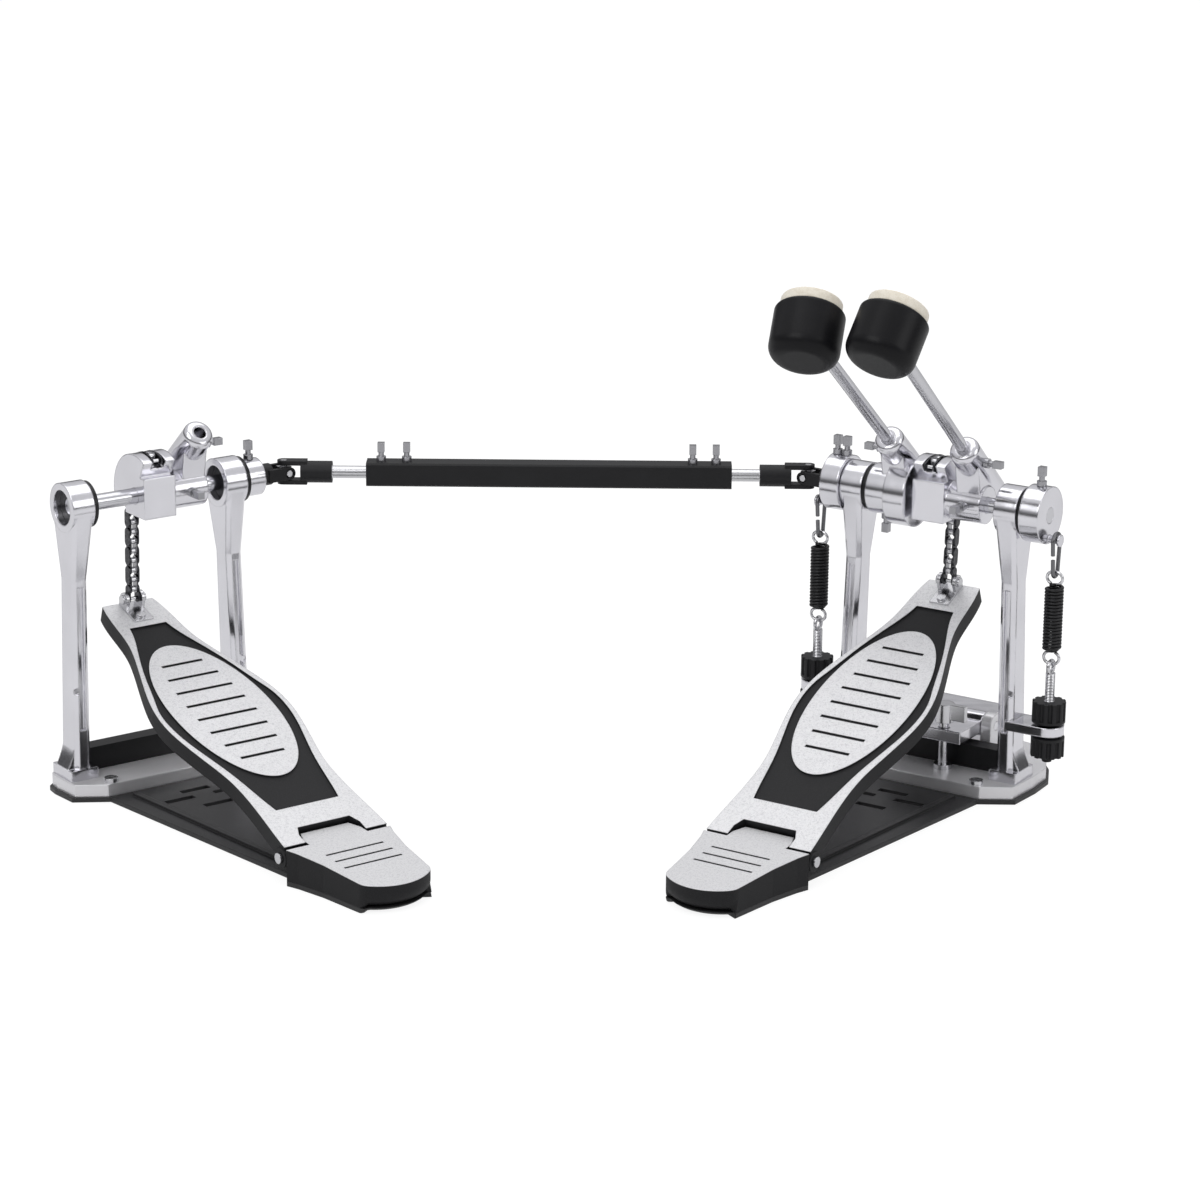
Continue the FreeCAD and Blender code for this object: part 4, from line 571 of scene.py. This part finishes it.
@dataclass(frozen=True)
class SpringWire:
    """Black coil wire whose end loops are bright."""

    name: str
    attribute: str
    black: Colour = (0.007, 0.007, 0.008)
    bright: Colour = (0.74, 0.74, 0.76)
    wear: float = 2.5
    film_size: float = 0.003
    film_range: Range = (0.4, 0.8)
    film_roughness: float = 0.12
    coil_metallic: float = 0.2
    loop_metallic: float = 0.8
    coil_roughness: float = 0.38
    loop_smoothness: float = 0.16
    depth: float = 0.00002
    edge: float = 0.0003

    def material(self) -> bpy.types.Material:
        """Builds the wire; the mesh's attribute is 1 on the loops.

        Returns:
            The material.
        """
        graph = Graph(self.name)
        read = graph.node("ShaderNodeAttribute", {"attribute_name": self.attribute})
        loop = Signal(graph, read.outputs["Fac"])
        film = graph.noise(graph.place(), self.film_size, RICH_DETAIL)
        worn = tuple(self.wear * c for c in self.black)
        coil = graph.tint(self.black, worn, film.rise(*self.film_range))
        satin = self.coil_roughness - self.loop_smoothness * loop
        return graph.surface(
            base_color=graph.tint(coil, self.bright, loop),
            metallic=self.coil_metallic + self.loop_metallic * loop,
            roughness=satin + self.film_roughness * (film - NOISE_MIDDLE),
            normal=graph.relief(film, self.depth, self.edge),
        )


@dataclass(frozen=True)
class PressedFelt:
    """Cream felt with short matted fibres."""

    name: str
    colour: Colour = (0.90, 0.85, 0.74)
    shade: Colour = (0.76, 0.69, 0.56)
    fibre_size: float = 0.0007
    clump_size: float = 0.005
    fibre_tint: float = 0.6
    clump_tint: float = 0.6
    tint_range: Range = (0.3, 0.75)
    roughness: float = 0.92
    fibre_roughness: float = 0.06
    sheen: float = 0.35
    sheen_roughness: float = 0.5
    fibre_relief: float = 0.7
    clump_relief: float = 0.3
    depth: float = 0.00025
    edge: float = 0.0008

    def material(self) -> bpy.types.Material:
        """Builds the felt.

        Returns:
            The material.
        """
        graph = Graph(self.name)
        where = graph.place()
        fibre = graph.noise(where, self.fibre_size, FIBRE_DETAIL)
        clump = graph.noise(where, self.clump_size, RICH_DETAIL)
        cloud = (fibre * self.fibre_tint + clump * self.clump_tint).rise(*self.tint_range)
        bumps = fibre * self.fibre_relief + clump * self.clump_relief
        return graph.surface(
            base_color=graph.tint(self.shade, self.colour, cloud),
            roughness=self.roughness + self.fibre_roughness * (fibre - NOISE_MIDDLE),
            sheen_weight=self.sheen,
            sheen_roughness=self.sheen_roughness,
            normal=graph.relief(bumps, self.depth, self.edge),
        )


# Finishes without a pattern of their own place; a name with braces stands for both pedals
SHARED_FINISHES: tuple[tuple[Union[Plating, Paint], tuple[str, ...]], ...] = (
    (
        Plating("bright_plating"),
        (
            "{}_left_upright",
            "{}_right_upright",
            "{}_cam",
            "{}_spring_cam",
            "slave_drive_hub",
            "slave_collar",
            "hoop_jaw",
        ),
    ),
    (
        Plating("cast_plating", (0.87, 0.865, 0.885), roughness=0.26, wave=0.0002, metallic=0.45),
        ("{}_frame_base",),
    ),
    (
        Plating("rod_steel", (0.66, 0.66, 0.69), roughness=0.15, wave=0.00001, edge=0.0006),
        ("{}_beater_rod", "{}_axle"),
    ),
    (
        Plating("bolt_steel", (0.66, 0.66, 0.68), roughness=0.18, wave=0.00005, edge=0.0006),
        ("{}_frame_fasteners", "{}_chain_anchor", "{}_joint_cross", "clamp_screw"),
    ),
    (
        Plating("drum_key_bolt", (0.42, 0.42, 0.44), roughness=0.26, wave=0.00005, edge=0.0005),
        ("{}_key_bolts", "stub_key_bolts", "shaft_clamp_screws"),
    ),
    (
        Plating("dark_wire", (0.20, 0.20, 0.21), roughness=0.30, wave=0.00004, edge=0.0004),
        ("{}_spring_hook",),
    ),
    (
        Paint("base_coat", (0.019, 0.019, 0.020), roughness=0.36, grain=0.0009, gloss=0.45),
        ("{}_base_plate",),
    ),
    (
        Paint("satin_black", (0.007, 0.007, 0.008), roughness=0.42),
        ("{}_cross_bar", "shaft_tube", "slave_yoke", "stub_axle"),
    ),
    (
        Paint("nylon_black", (0.006, 0.006, 0.007), 0.30, 0.0012, depth=0.00002, edge=0.0014, gloss=0.35),
        ("{}_bearings",),
    ),
    (
        Paint("beater_black", (0.006, 0.006, 0.007), 0.36, 0.0012, depth=0.00002, edge=0.0014, gloss=0.16),
        ("{}_beater_head",),
    ),
)


def deselect() -> None:
    """Leaves nothing selected."""
    if bpy.context.object and bpy.context.object.mode != "OBJECT":
        bpy.ops.object.mode_set(mode="OBJECT")
    bpy.ops.object.select_all(action="DESELECT")


def settle(piece: bpy.types.Object, place: Matrix, name: str) -> bpy.types.Object:
    """Puts a finished piece's place into its mesh.

    Args:
        piece: The object, modelled about the origin.
        place: Where it goes.
        name: The piece's name.

    Returns:
        The piece, at the origin.
    """
    piece.name = name
    piece.data.name = name
    piece.matrix_world = place
    bpy.ops.object.transform_apply(location=True, rotation=True, scale=True)
    return piece


@dataclass
class ReturnSpring:
    """Close-wound return spring with an open loop at each end, one unbroken wire."""

    pedal: Pedal
    frame: PedalFrame
    x: float
    coil_low: float = 0.1001
    coil_high: float = 0.1401
    coil_radius: float = 0.0051
    wire_radius: float = 0.00099
    turns: int = 19
    loop_radius: float = 0.0042
    loop_half_width: float = 0.0053
    loop_rise: float = 0.0015
    loop_angle: float = 1.86 * math.pi
    steps: int = 20
    curve_order: int = 3
    curve_steps: int = 2
    section_steps: int = 3
    attribute: str = "loop"

    def end_loop(self) -> list[Vector]:
        """Shapes one end of the wire, upwards from height zero.

        Returns:
            Points from the last turn of the coil round its end loop.
        """
        points = []
        for number in range(1, self.steps):
            share = number / self.steps
            angle = math.pi * share
            radius = self.coil_radius * (1 - share)
            height = self.loop_rise * share
            points.append(Vector((radius * math.cos(angle), radius * math.sin(angle), height)))
        middle = self.loop_rise + self.loop_radius
        for number in range(self.steps + 1):
            angle = -math.pi / 2 - self.loop_angle * number / self.steps
            y = self.loop_half_width * math.cos(angle)
            z = middle + self.loop_radius * math.sin(angle)
            points.append(Vector((0.0, y, z)))
        return points

    def wire_path(self) -> list[Vector]:
        """Lays the whole wire along a vertical axis.

        Returns:
            Its points, from the low loop to the high one.
        """
        height = self.coil_high - self.coil_low
        coil = []
        for number in range(self.turns * self.steps + 1):
            share = number / (self.turns * self.steps)
            angle = 2 * math.pi * self.turns * share
            x = self.coil_radius * math.cos(angle)
            y = self.coil_radius * math.sin(angle)
            coil.append(Vector((x, y, height * share)))
        top = [p + Vector((0.0, 0.0, height)) for p in self.end_loop()]
        low = [Vector((p.x, -p.y, -p.z)) for p in reversed(self.end_loop())]
        return low + coil + top

    def build(self) -> bpy.types.Object:
        """Draws the wire and gives it its round section.

        Returns:
            The spring's mesh object.
        """
        deselect()
        bpy.ops.curve.primitive_nurbs_path_add()
        piece = bpy.context.object
        piece.data.splines.clear()
        path = self.wire_path()
        spline = piece.data.splines.new("NURBS")
        spline.points.add(len(path) - 1)
        for point, at in zip(spline.points, path):
            point.co = (*at, 1.0)
        spline.order_u = self.curve_order
        spline.use_endpoint_u = True
        piece.data.dimensions = "3D"
        piece.data.resolution_u = self.curve_steps
        piece.data.bevel_depth = self.wire_radius
        piece.data.bevel_resolution = self.section_steps
        piece.data.use_fill_caps = True
        bpy.ops.object.convert(target="MESH")
        piece = bpy.context.object
        bpy.ops.object.shade_smooth()
        self.mark_loops(piece)
        quarter = Matrix.Rotation(math.pi / 2, 4, "Z")
        place = self.frame.matrix() @ Matrix.Translation((self.x, 0.0, self.coil_low)) @ quarter
        return settle(piece, place, f"{self.pedal.value}_wound_spring")

    def mark_loops(self, piece: bpy.types.Object) -> None:
        """Writes the attribute that tells the loops from the coil.

        Args:
            piece: The spring, its coil still starting at height zero.
        """
        span = self.coil_high - self.coil_low
        edge = self.loop_rise + self.wire_radius
        mask = piece.data.attributes.new(self.attribute, "FLOAT", "POINT")
        for vertex, item in zip(piece.data.vertices, mask.data):
            item.value = float(vertex.co.z > span + edge or vertex.co.z < -edge)

    def dress(self, piece: bpy.types.Object, finish: SpringWire) -> None:
        """Gives the spring its finish, hides the solid spring it stands in for and bakes its place into
        its mesh.

        Args:
            piece: The spring.
            finish: Its wire.
        """
        piece.data.materials.append(finish.material())
        name = self.pedal.value
        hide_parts(f"{name}_spring")
        axis = self.frame.matrix() @ Vector((self.x, 0.0, 0.0))
        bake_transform(piece)


@dataclass
class FeltPad:
    """Crowned felt disc on the striking face of a beater."""

    pedal: Pedal
    frame: PedalFrame
    side: float
    tilt: float
    twist: float
    axle_height: float = 0.185
    reach: float = 0.175
    offset: float = 0.017
    seat: float = 0.013
    radius: float = 0.0188
    thickness: float = 0.0079
    crown: float = 0.0007
    corners: int = 64
    insets: tuple[float, ...] = (0.0012, 0.0035, 0.006, 0.006)
    flat_share: float = 0.9
    rim_width: float = 0.0021
    rim_steps: int = 4
    rim_angle: float = math.radians(50)
    smooth_levels: int = 2
    fibre_size: float = 0.0022
    fibre_depth: float = 0.0004
    fibre_level: float = 0.75

    def place(self) -> Matrix:
        """Finds the pad's seat on the head.

        Returns:
            Where the pad's back face lies, its z along the blow.
        """
        lean = Matrix.Rotation(self.tilt, 3, "X")
        along = lean @ Vector((0.0, 0.0, 1.0))
        out = lean @ Vector((0.0, 1.0, 0.0))
        blow = Matrix.Rotation(self.twist, 3, along) @ out
        axle = Vector((self.side, 0.0, self.axle_height))
        middle = axle + out * self.offset + blow * self.seat + along * self.reach
        turn = blow.to_track_quat("Z", "Y").to_matrix().to_4x4()
        return self.frame.matrix() @ Matrix.Translation(middle) @ turn

    def build(self) -> bpy.types.Object:
        """Shapes the pad from a disc: rounded rim, crowned face, uneven fibres.

        Returns:
            The pad's mesh object.
        """
        deselect()
        middle = (0.0, 0.0, self.thickness / 2)
        bpy.ops.mesh.primitive_cylinder_add(
            vertices=self.corners, radius=self.radius, depth=self.thickness, location=middle
        )
        piece = bpy.context.object
        bpy.ops.object.transform_apply(location=True)
        bpy.ops.object.mode_set(mode="EDIT")
        bpy.ops.mesh.select_mode(type="FACE")
        bpy.ops.mesh.select_all(action="DESELECT")
        bpy.ops.object.mode_set(mode="OBJECT")
        for face in piece.data.polygons:
            face.select = abs(face.normal.z) > self.flat_share
        bpy.ops.object.mode_set(mode="EDIT")
        for inset in self.insets:
            bpy.ops.mesh.inset(thickness=inset)
        bpy.ops.object.mode_set(mode="OBJECT")
        self.crown_face(piece)
        self.soften(piece)
        return settle(piece, self.place(), f"{self.pedal.value}_felt_pad")

    def crown_face(self, piece: bpy.types.Object) -> None:
        """Lowers the striking face towards its rim.

        Args:
            piece: The pad, still about the origin.
        """
        for vertex in piece.data.vertices:
            if vertex.co.z > self.thickness / 2:
                share = math.hypot(vertex.co.x, vertex.co.y) / self.radius
                vertex.co.z -= self.crown * share * share

    def soften(self, piece: bpy.types.Object) -> None:
        """Rounds the rim, smooths the mesh and roughens it with fibres.

        Args:
            piece: The pad, still about the origin.
        """
        rim = piece.modifiers.new("rim", "BEVEL")
        rim.width = self.rim_width
        rim.segments = self.rim_steps
        rim.limit_method = "ANGLE"
        rim.angle_limit = self.rim_angle
        smooth = piece.modifiers.new("smooth", "SUBSURF")
        smooth.levels = self.smooth_levels
        smooth.render_levels = self.smooth_levels
        fibres = bpy.data.textures.new("felt_fibres", "CLOUDS")
        fibres.noise_scale = self.fibre_size
        rough = piece.modifiers.new("rough", "DISPLACE")
        rough.texture = fibres
        rough.texture_coords = "LOCAL"
        rough.strength = self.fibre_depth
        rough.mid_level = self.fibre_level
        for name in ("rim", "smooth", "rough"):
            bpy.ops.object.modifier_apply(modifier=name)
        bpy.ops.object.shade_smooth()

    def dress(self, piece: bpy.types.Object, finish: PressedFelt) -> None:
        """Gives the pad its finish and rides it on its beater.

        Args:
            piece: The pad.
            finish: Its felt.
        """
        piece.data.materials.append(finish.material())
        name = self.pedal.value
        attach(piece, f"{name}_beater")
        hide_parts(f"{name}_beater_felt")


@dataclass
class Hardware:
    """The solids that show as they are, each with its finish."""

    nodes: dict[str, bpy.types.Object]
    frames: dict[Pedal, PedalFrame]
    joints: dict[str, Vector]
    board_top: float = 0.0086
    heel_back: float = 0.290
    heel_front: float = 0.217
    heel_back_height: float = 0.017
    heel_front_height: float = 0.0225
    shaft_neck: float = 0.031
    shaft_rod: float = 0.0042
    spring_x: float = 0.083
    collar_top: float = 0.0663
    stem_radius: float = 0.0031
    stem_thread: float = 0.001

    def paint(self, material: bpy.types.Material, *names: str) -> None:
        """Gives nodes a material.

        Args:
            material: The material.
            *names: The nodes.
        """
        for name in names:
            slots = self.nodes[name].data.materials
            slots.clear()
            slots.append(material)
            LOG.info("finish %s on %s", material.name, name)

    def heel_frame(self, frame: PedalFrame) -> tuple[Vector, Euler]:
        """Finds the frame on a heel's sloping top, at its back edge.

        Args:
            frame: The heel's pedal.

        Returns:
            The frame's origin and rotation.
        """
        back = frame.matrix() @ Vector((0.0, -self.heel_back, self.heel_back_height))
        rise = self.heel_front_height - self.heel_back_height
        slope = math.atan2(rise, self.heel_back - self.heel_front)
        return back, Euler((slope, 0.0, frame.turn))

    def dress_shared(self) -> None:
        """Gives out the finishes that have no pattern of their own place."""
        for finish, patterns in SHARED_FINISHES:
            names = (pattern.format(pedal.value) for pattern in patterns for pedal in Pedal)
            self.paint(finish.material(), *dict.fromkeys(names))

    def dress_boards(self) -> None:
        """Finishes the boards, heels and chains, in each pedal's own frame."""
        for pedal, frame in self.frames.items():
            name = pedal.value
            board = BoardTop(f"{name}_board_top", *frame.board(), self.board_top)
            self.paint(board.material(), f"{name}_footboard")
            heel = BoardTop(f"{name}_heel_top", *self.heel_frame(frame), 0.0)
            self.paint(heel.material(), f"{name}_heel")
            chain = ChainSteel(f"{name}_chain_steel", *frame.level())
            self.paint(chain.material(), *(f"{name}_chain_{part}" for part in ("run", "lift", "wrap")))

    def dress_bars(self) -> None:
        """Finishes the spring adjusters and the shaft's arms, banded along their axes."""
        main = self.frames[Pedal.MAIN]
        for pedal, side in SIDES.items():
            axis = main.matrix() @ Vector((side * self.spring_x, 0.0, 0.0))
            name = f"{pedal.value}_spring_adjuster"
            stem = BandedMetal(name, axis, Euler(), self.stem_radius, self.collar_top, self.stem_thread)
            self.paint(stem.material(), name)
            turn = Euler((0.0, -side * math.pi / 2, 0.0))
            joint = self.joints[f"{pedal.value}_joint_cross_turn"]
            arm = BandedMetal(f"{pedal.value}_shaft_arm", joint, turn, self.shaft_rod, self.shaft_neck)
            self.paint(arm.material(), f"shaft_{pedal.value}_arm")


@dataclass
class Studio:
    """White floor, soft light and the camera."""

    floor_size: float = 40.0
    floor_drop: float = 0.0004
    floor_grey: float = 0.70
    shadow_share: float = 0.3
    mirror_share: float = 0.3
    white_level: float = 1.25
    sky_stops: tuple[Range, ...] = (
        (0.0, 0.5),
        (0.50, 0.10),
        (0.57, 0.12),
        (0.66, 0.75),
        (0.78, 0.95),
        (1.0, 1.0),
    )
    sky_blue: float = 1.02
    sky_level: float = 0.7
    lamps: tuple[tuple[str, tuple[float, float, float], float, float], ...] = (
        ("key_lamp", (-1.3, -1.5, 1.7), 1.4, 13.0),
        ("top_lamp", (-0.2, 0.3, 2.0), 1.8, 11.0),
        ("side_lamp", (1.5, -0.9, 0.9), 1.0, 5.0),
    )
    camera_at: Vector = field(default_factory=lambda: Vector((-0.19707, -2.1371, 0.7502)))
    camera_down: float = math.radians(16.59)
    camera_roll: float = math.radians(0.5)
    lens: float = 106.0
    sensor: float = 36.0
    shift: tuple[float, float] = (-0.0178, 0.0032)
    clip: Range = (0.05, 60.0)
    aim: Vector = field(default_factory=lambda: Vector((-0.2, -0.05, 0.12)))

    def floor(self) -> None:
        """Floor that looks white and keeps a soft shadow."""
        deselect()
        bpy.ops.mesh.primitive_plane_add(size=self.floor_size, location=(0.0, 0.0, -self.floor_drop))
        plane = bpy.context.object
        plane.name = "studio_floor"
        graph = Graph("studio_floor")
        path = graph.node("ShaderNodeLightPath").outputs
        kinds = ("Is Camera Ray", "Is Transmission Ray", "Is Glossy Ray")
        camera, through, mirrored = (Signal(graph, path[kind]) for kind in kinds)
        seen = graph.math("MAXIMUM", graph.math("MAXIMUM", camera, through), mirrored * self.mirror_share)
        white = graph.node("ShaderNodeEmission", None, {"Strength": self.white_level})
        grey = (self.floor_grey, self.floor_grey, self.floor_grey, 1.0)
        matt = graph.node("ShaderNodeBsdfDiffuse", None, {"Color": grey})
        inputs = {0: seen * (1 - self.shadow_share), 1: matt.outputs[0], 2: white.outputs[0]}
        mix = graph.node("ShaderNodeMixShader", None, inputs)
        graph.node("ShaderNodeOutputMaterial", None, {"Surface": mix.outputs[0]})
        plane.data.materials.append(graph.material)

    def world(self) -> None:
        """Pale surroundings with a dark band at the horizon for the plating to mirror."""
        world = bpy.data.worlds.new("studio")
        bpy.context.scene.world = world
        world.use_nodes = True
        tree = world.node_tree
        tree.nodes.clear()
        where = tree.nodes.new("ShaderNodeTexCoord")
        split = tree.nodes.new("ShaderNodeSeparateXYZ")
        tree.links.new(where.outputs["Generated"], split.inputs[0])
        ramp = tree.nodes.new("ShaderNodeValToRGB")
        while len(ramp.color_ramp.elements) < len(self.sky_stops):
            ramp.color_ramp.elements.new(1.0)
        for element, (position, level) in zip(ramp.color_ramp.elements, self.sky_stops):
            element.position = position
            element.color = (level, level, level * self.sky_blue, 1.0)
        span = tree.nodes.new("ShaderNodeMapRange")
        span.inputs["From Min"].default_value = -1.0
        tree.links.new(split.outputs[2], span.inputs["Value"])
        tree.links.new(span.outputs[0], ramp.inputs[0])
        background = tree.nodes.new("ShaderNodeBackground")
        background.inputs["Strength"].default_value = self.sky_level
        tree.links.new(ramp.outputs[0], background.inputs[0])
        output = tree.nodes.new("ShaderNodeOutputWorld")
        tree.links.new(background.outputs[0], output.inputs[0])

    def lamp(self, name: str, at: tuple[float, float, float], size: float, power: float) -> None:
        """A square soft lamp that faces the object.

        Args:
            name: The lamp's name.
            at: Where it stands.
            size: Its side in metres.
            power: Its power in watts.
        """
        deselect()
        bpy.ops.object.light_add(type="AREA", location=at)
        lamp = bpy.context.object
        lamp.name = name
        lamp.data.size = size
        lamp.data.energy = power
        lamp.rotation_euler = (self.aim - Vector(at)).to_track_quat("-Z", "Y").to_euler()

    def camera(self) -> None:
        """Camera of the photograph's view."""
        deselect()
        bpy.ops.object.camera_add(location=self.camera_at)
        camera = bpy.context.object
        camera.name = "photo_camera"
        pitch = Matrix.Rotation(math.pi / 2 - self.camera_down, 4, "X")
        roll = Matrix.Rotation(self.camera_roll, 4, "Z")
        camera.rotation_euler = (pitch @ roll).to_euler()
        camera.data.lens = self.lens
        camera.data.sensor_width = self.sensor
        camera.data.shift_x, camera.data.shift_y = self.shift
        camera.data.clip_start, camera.data.clip_end = self.clip
        bpy.context.scene.camera = camera

    def build(self) -> None:
        """Sets the stage."""
        self.floor()
        self.world()
        for lamp in self.lamps:
            self.lamp(*lamp)
        self.camera()
        bpy.context.scene.view_settings.view_transform = "Standard"


def corners(box: tuple[Vector, Vector]) -> list[list[float]]:
    """A box as plain lists of numbers."""
    return [[round(float(c), 6) for c in corner] for corner in box]


def main() -> None:
    """Builds every piece, dresses it and sets the stage."""
    logging.basicConfig(level=logging.INFO, format="%(message)s")
    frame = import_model()
    joints = {joint["name"]: joint for joint in frame["joints"]}
    places = {name: Vector(joint["pos_m"]) for name, joint in joints.items() if "pos_m" in joint}
    frames = {}
    for pedal in Pedal:
        joint = joints[f"{pedal.value}_axle_turn"]
        axle = Vector(joint["pos_m"])
        turn = math.atan2(-joint["axis"][1], -joint["axis"][0])
        frames[pedal] = PedalFrame(Vector((axle.x, axle.y, 0.0)), turn, BOARD_SLOPES[pedal])
    hardware = Hardware(frame["nodes"], frames, places)
    hardware.dress_shared()
    hardware.dress_boards()
    hardware.dress_bars()
    felt = PressedFelt("pressed_felt")
    for pedal, side in SIDES.items():
        spring = ReturnSpring(pedal, frames[Pedal.MAIN], side * hardware.spring_x)
        piece = spring.build()
        spring.dress(piece, SpringWire(f"{pedal.value}_spring_wire", spring.attribute))
        LOG.info("built %s", piece.name)
        lean = (BEATER_TILTS[pedal], BEATER_TWISTS[pedal])
        pad = FeltPad(pedal, frames[Pedal.MAIN], side * BEATER_X, *lean)
        piece = pad.build()
        pad.dress(piece, felt)
        LOG.info("built %s", piece.name)
    Studio().build()
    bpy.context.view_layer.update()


if __name__ == "__main__":
    main()
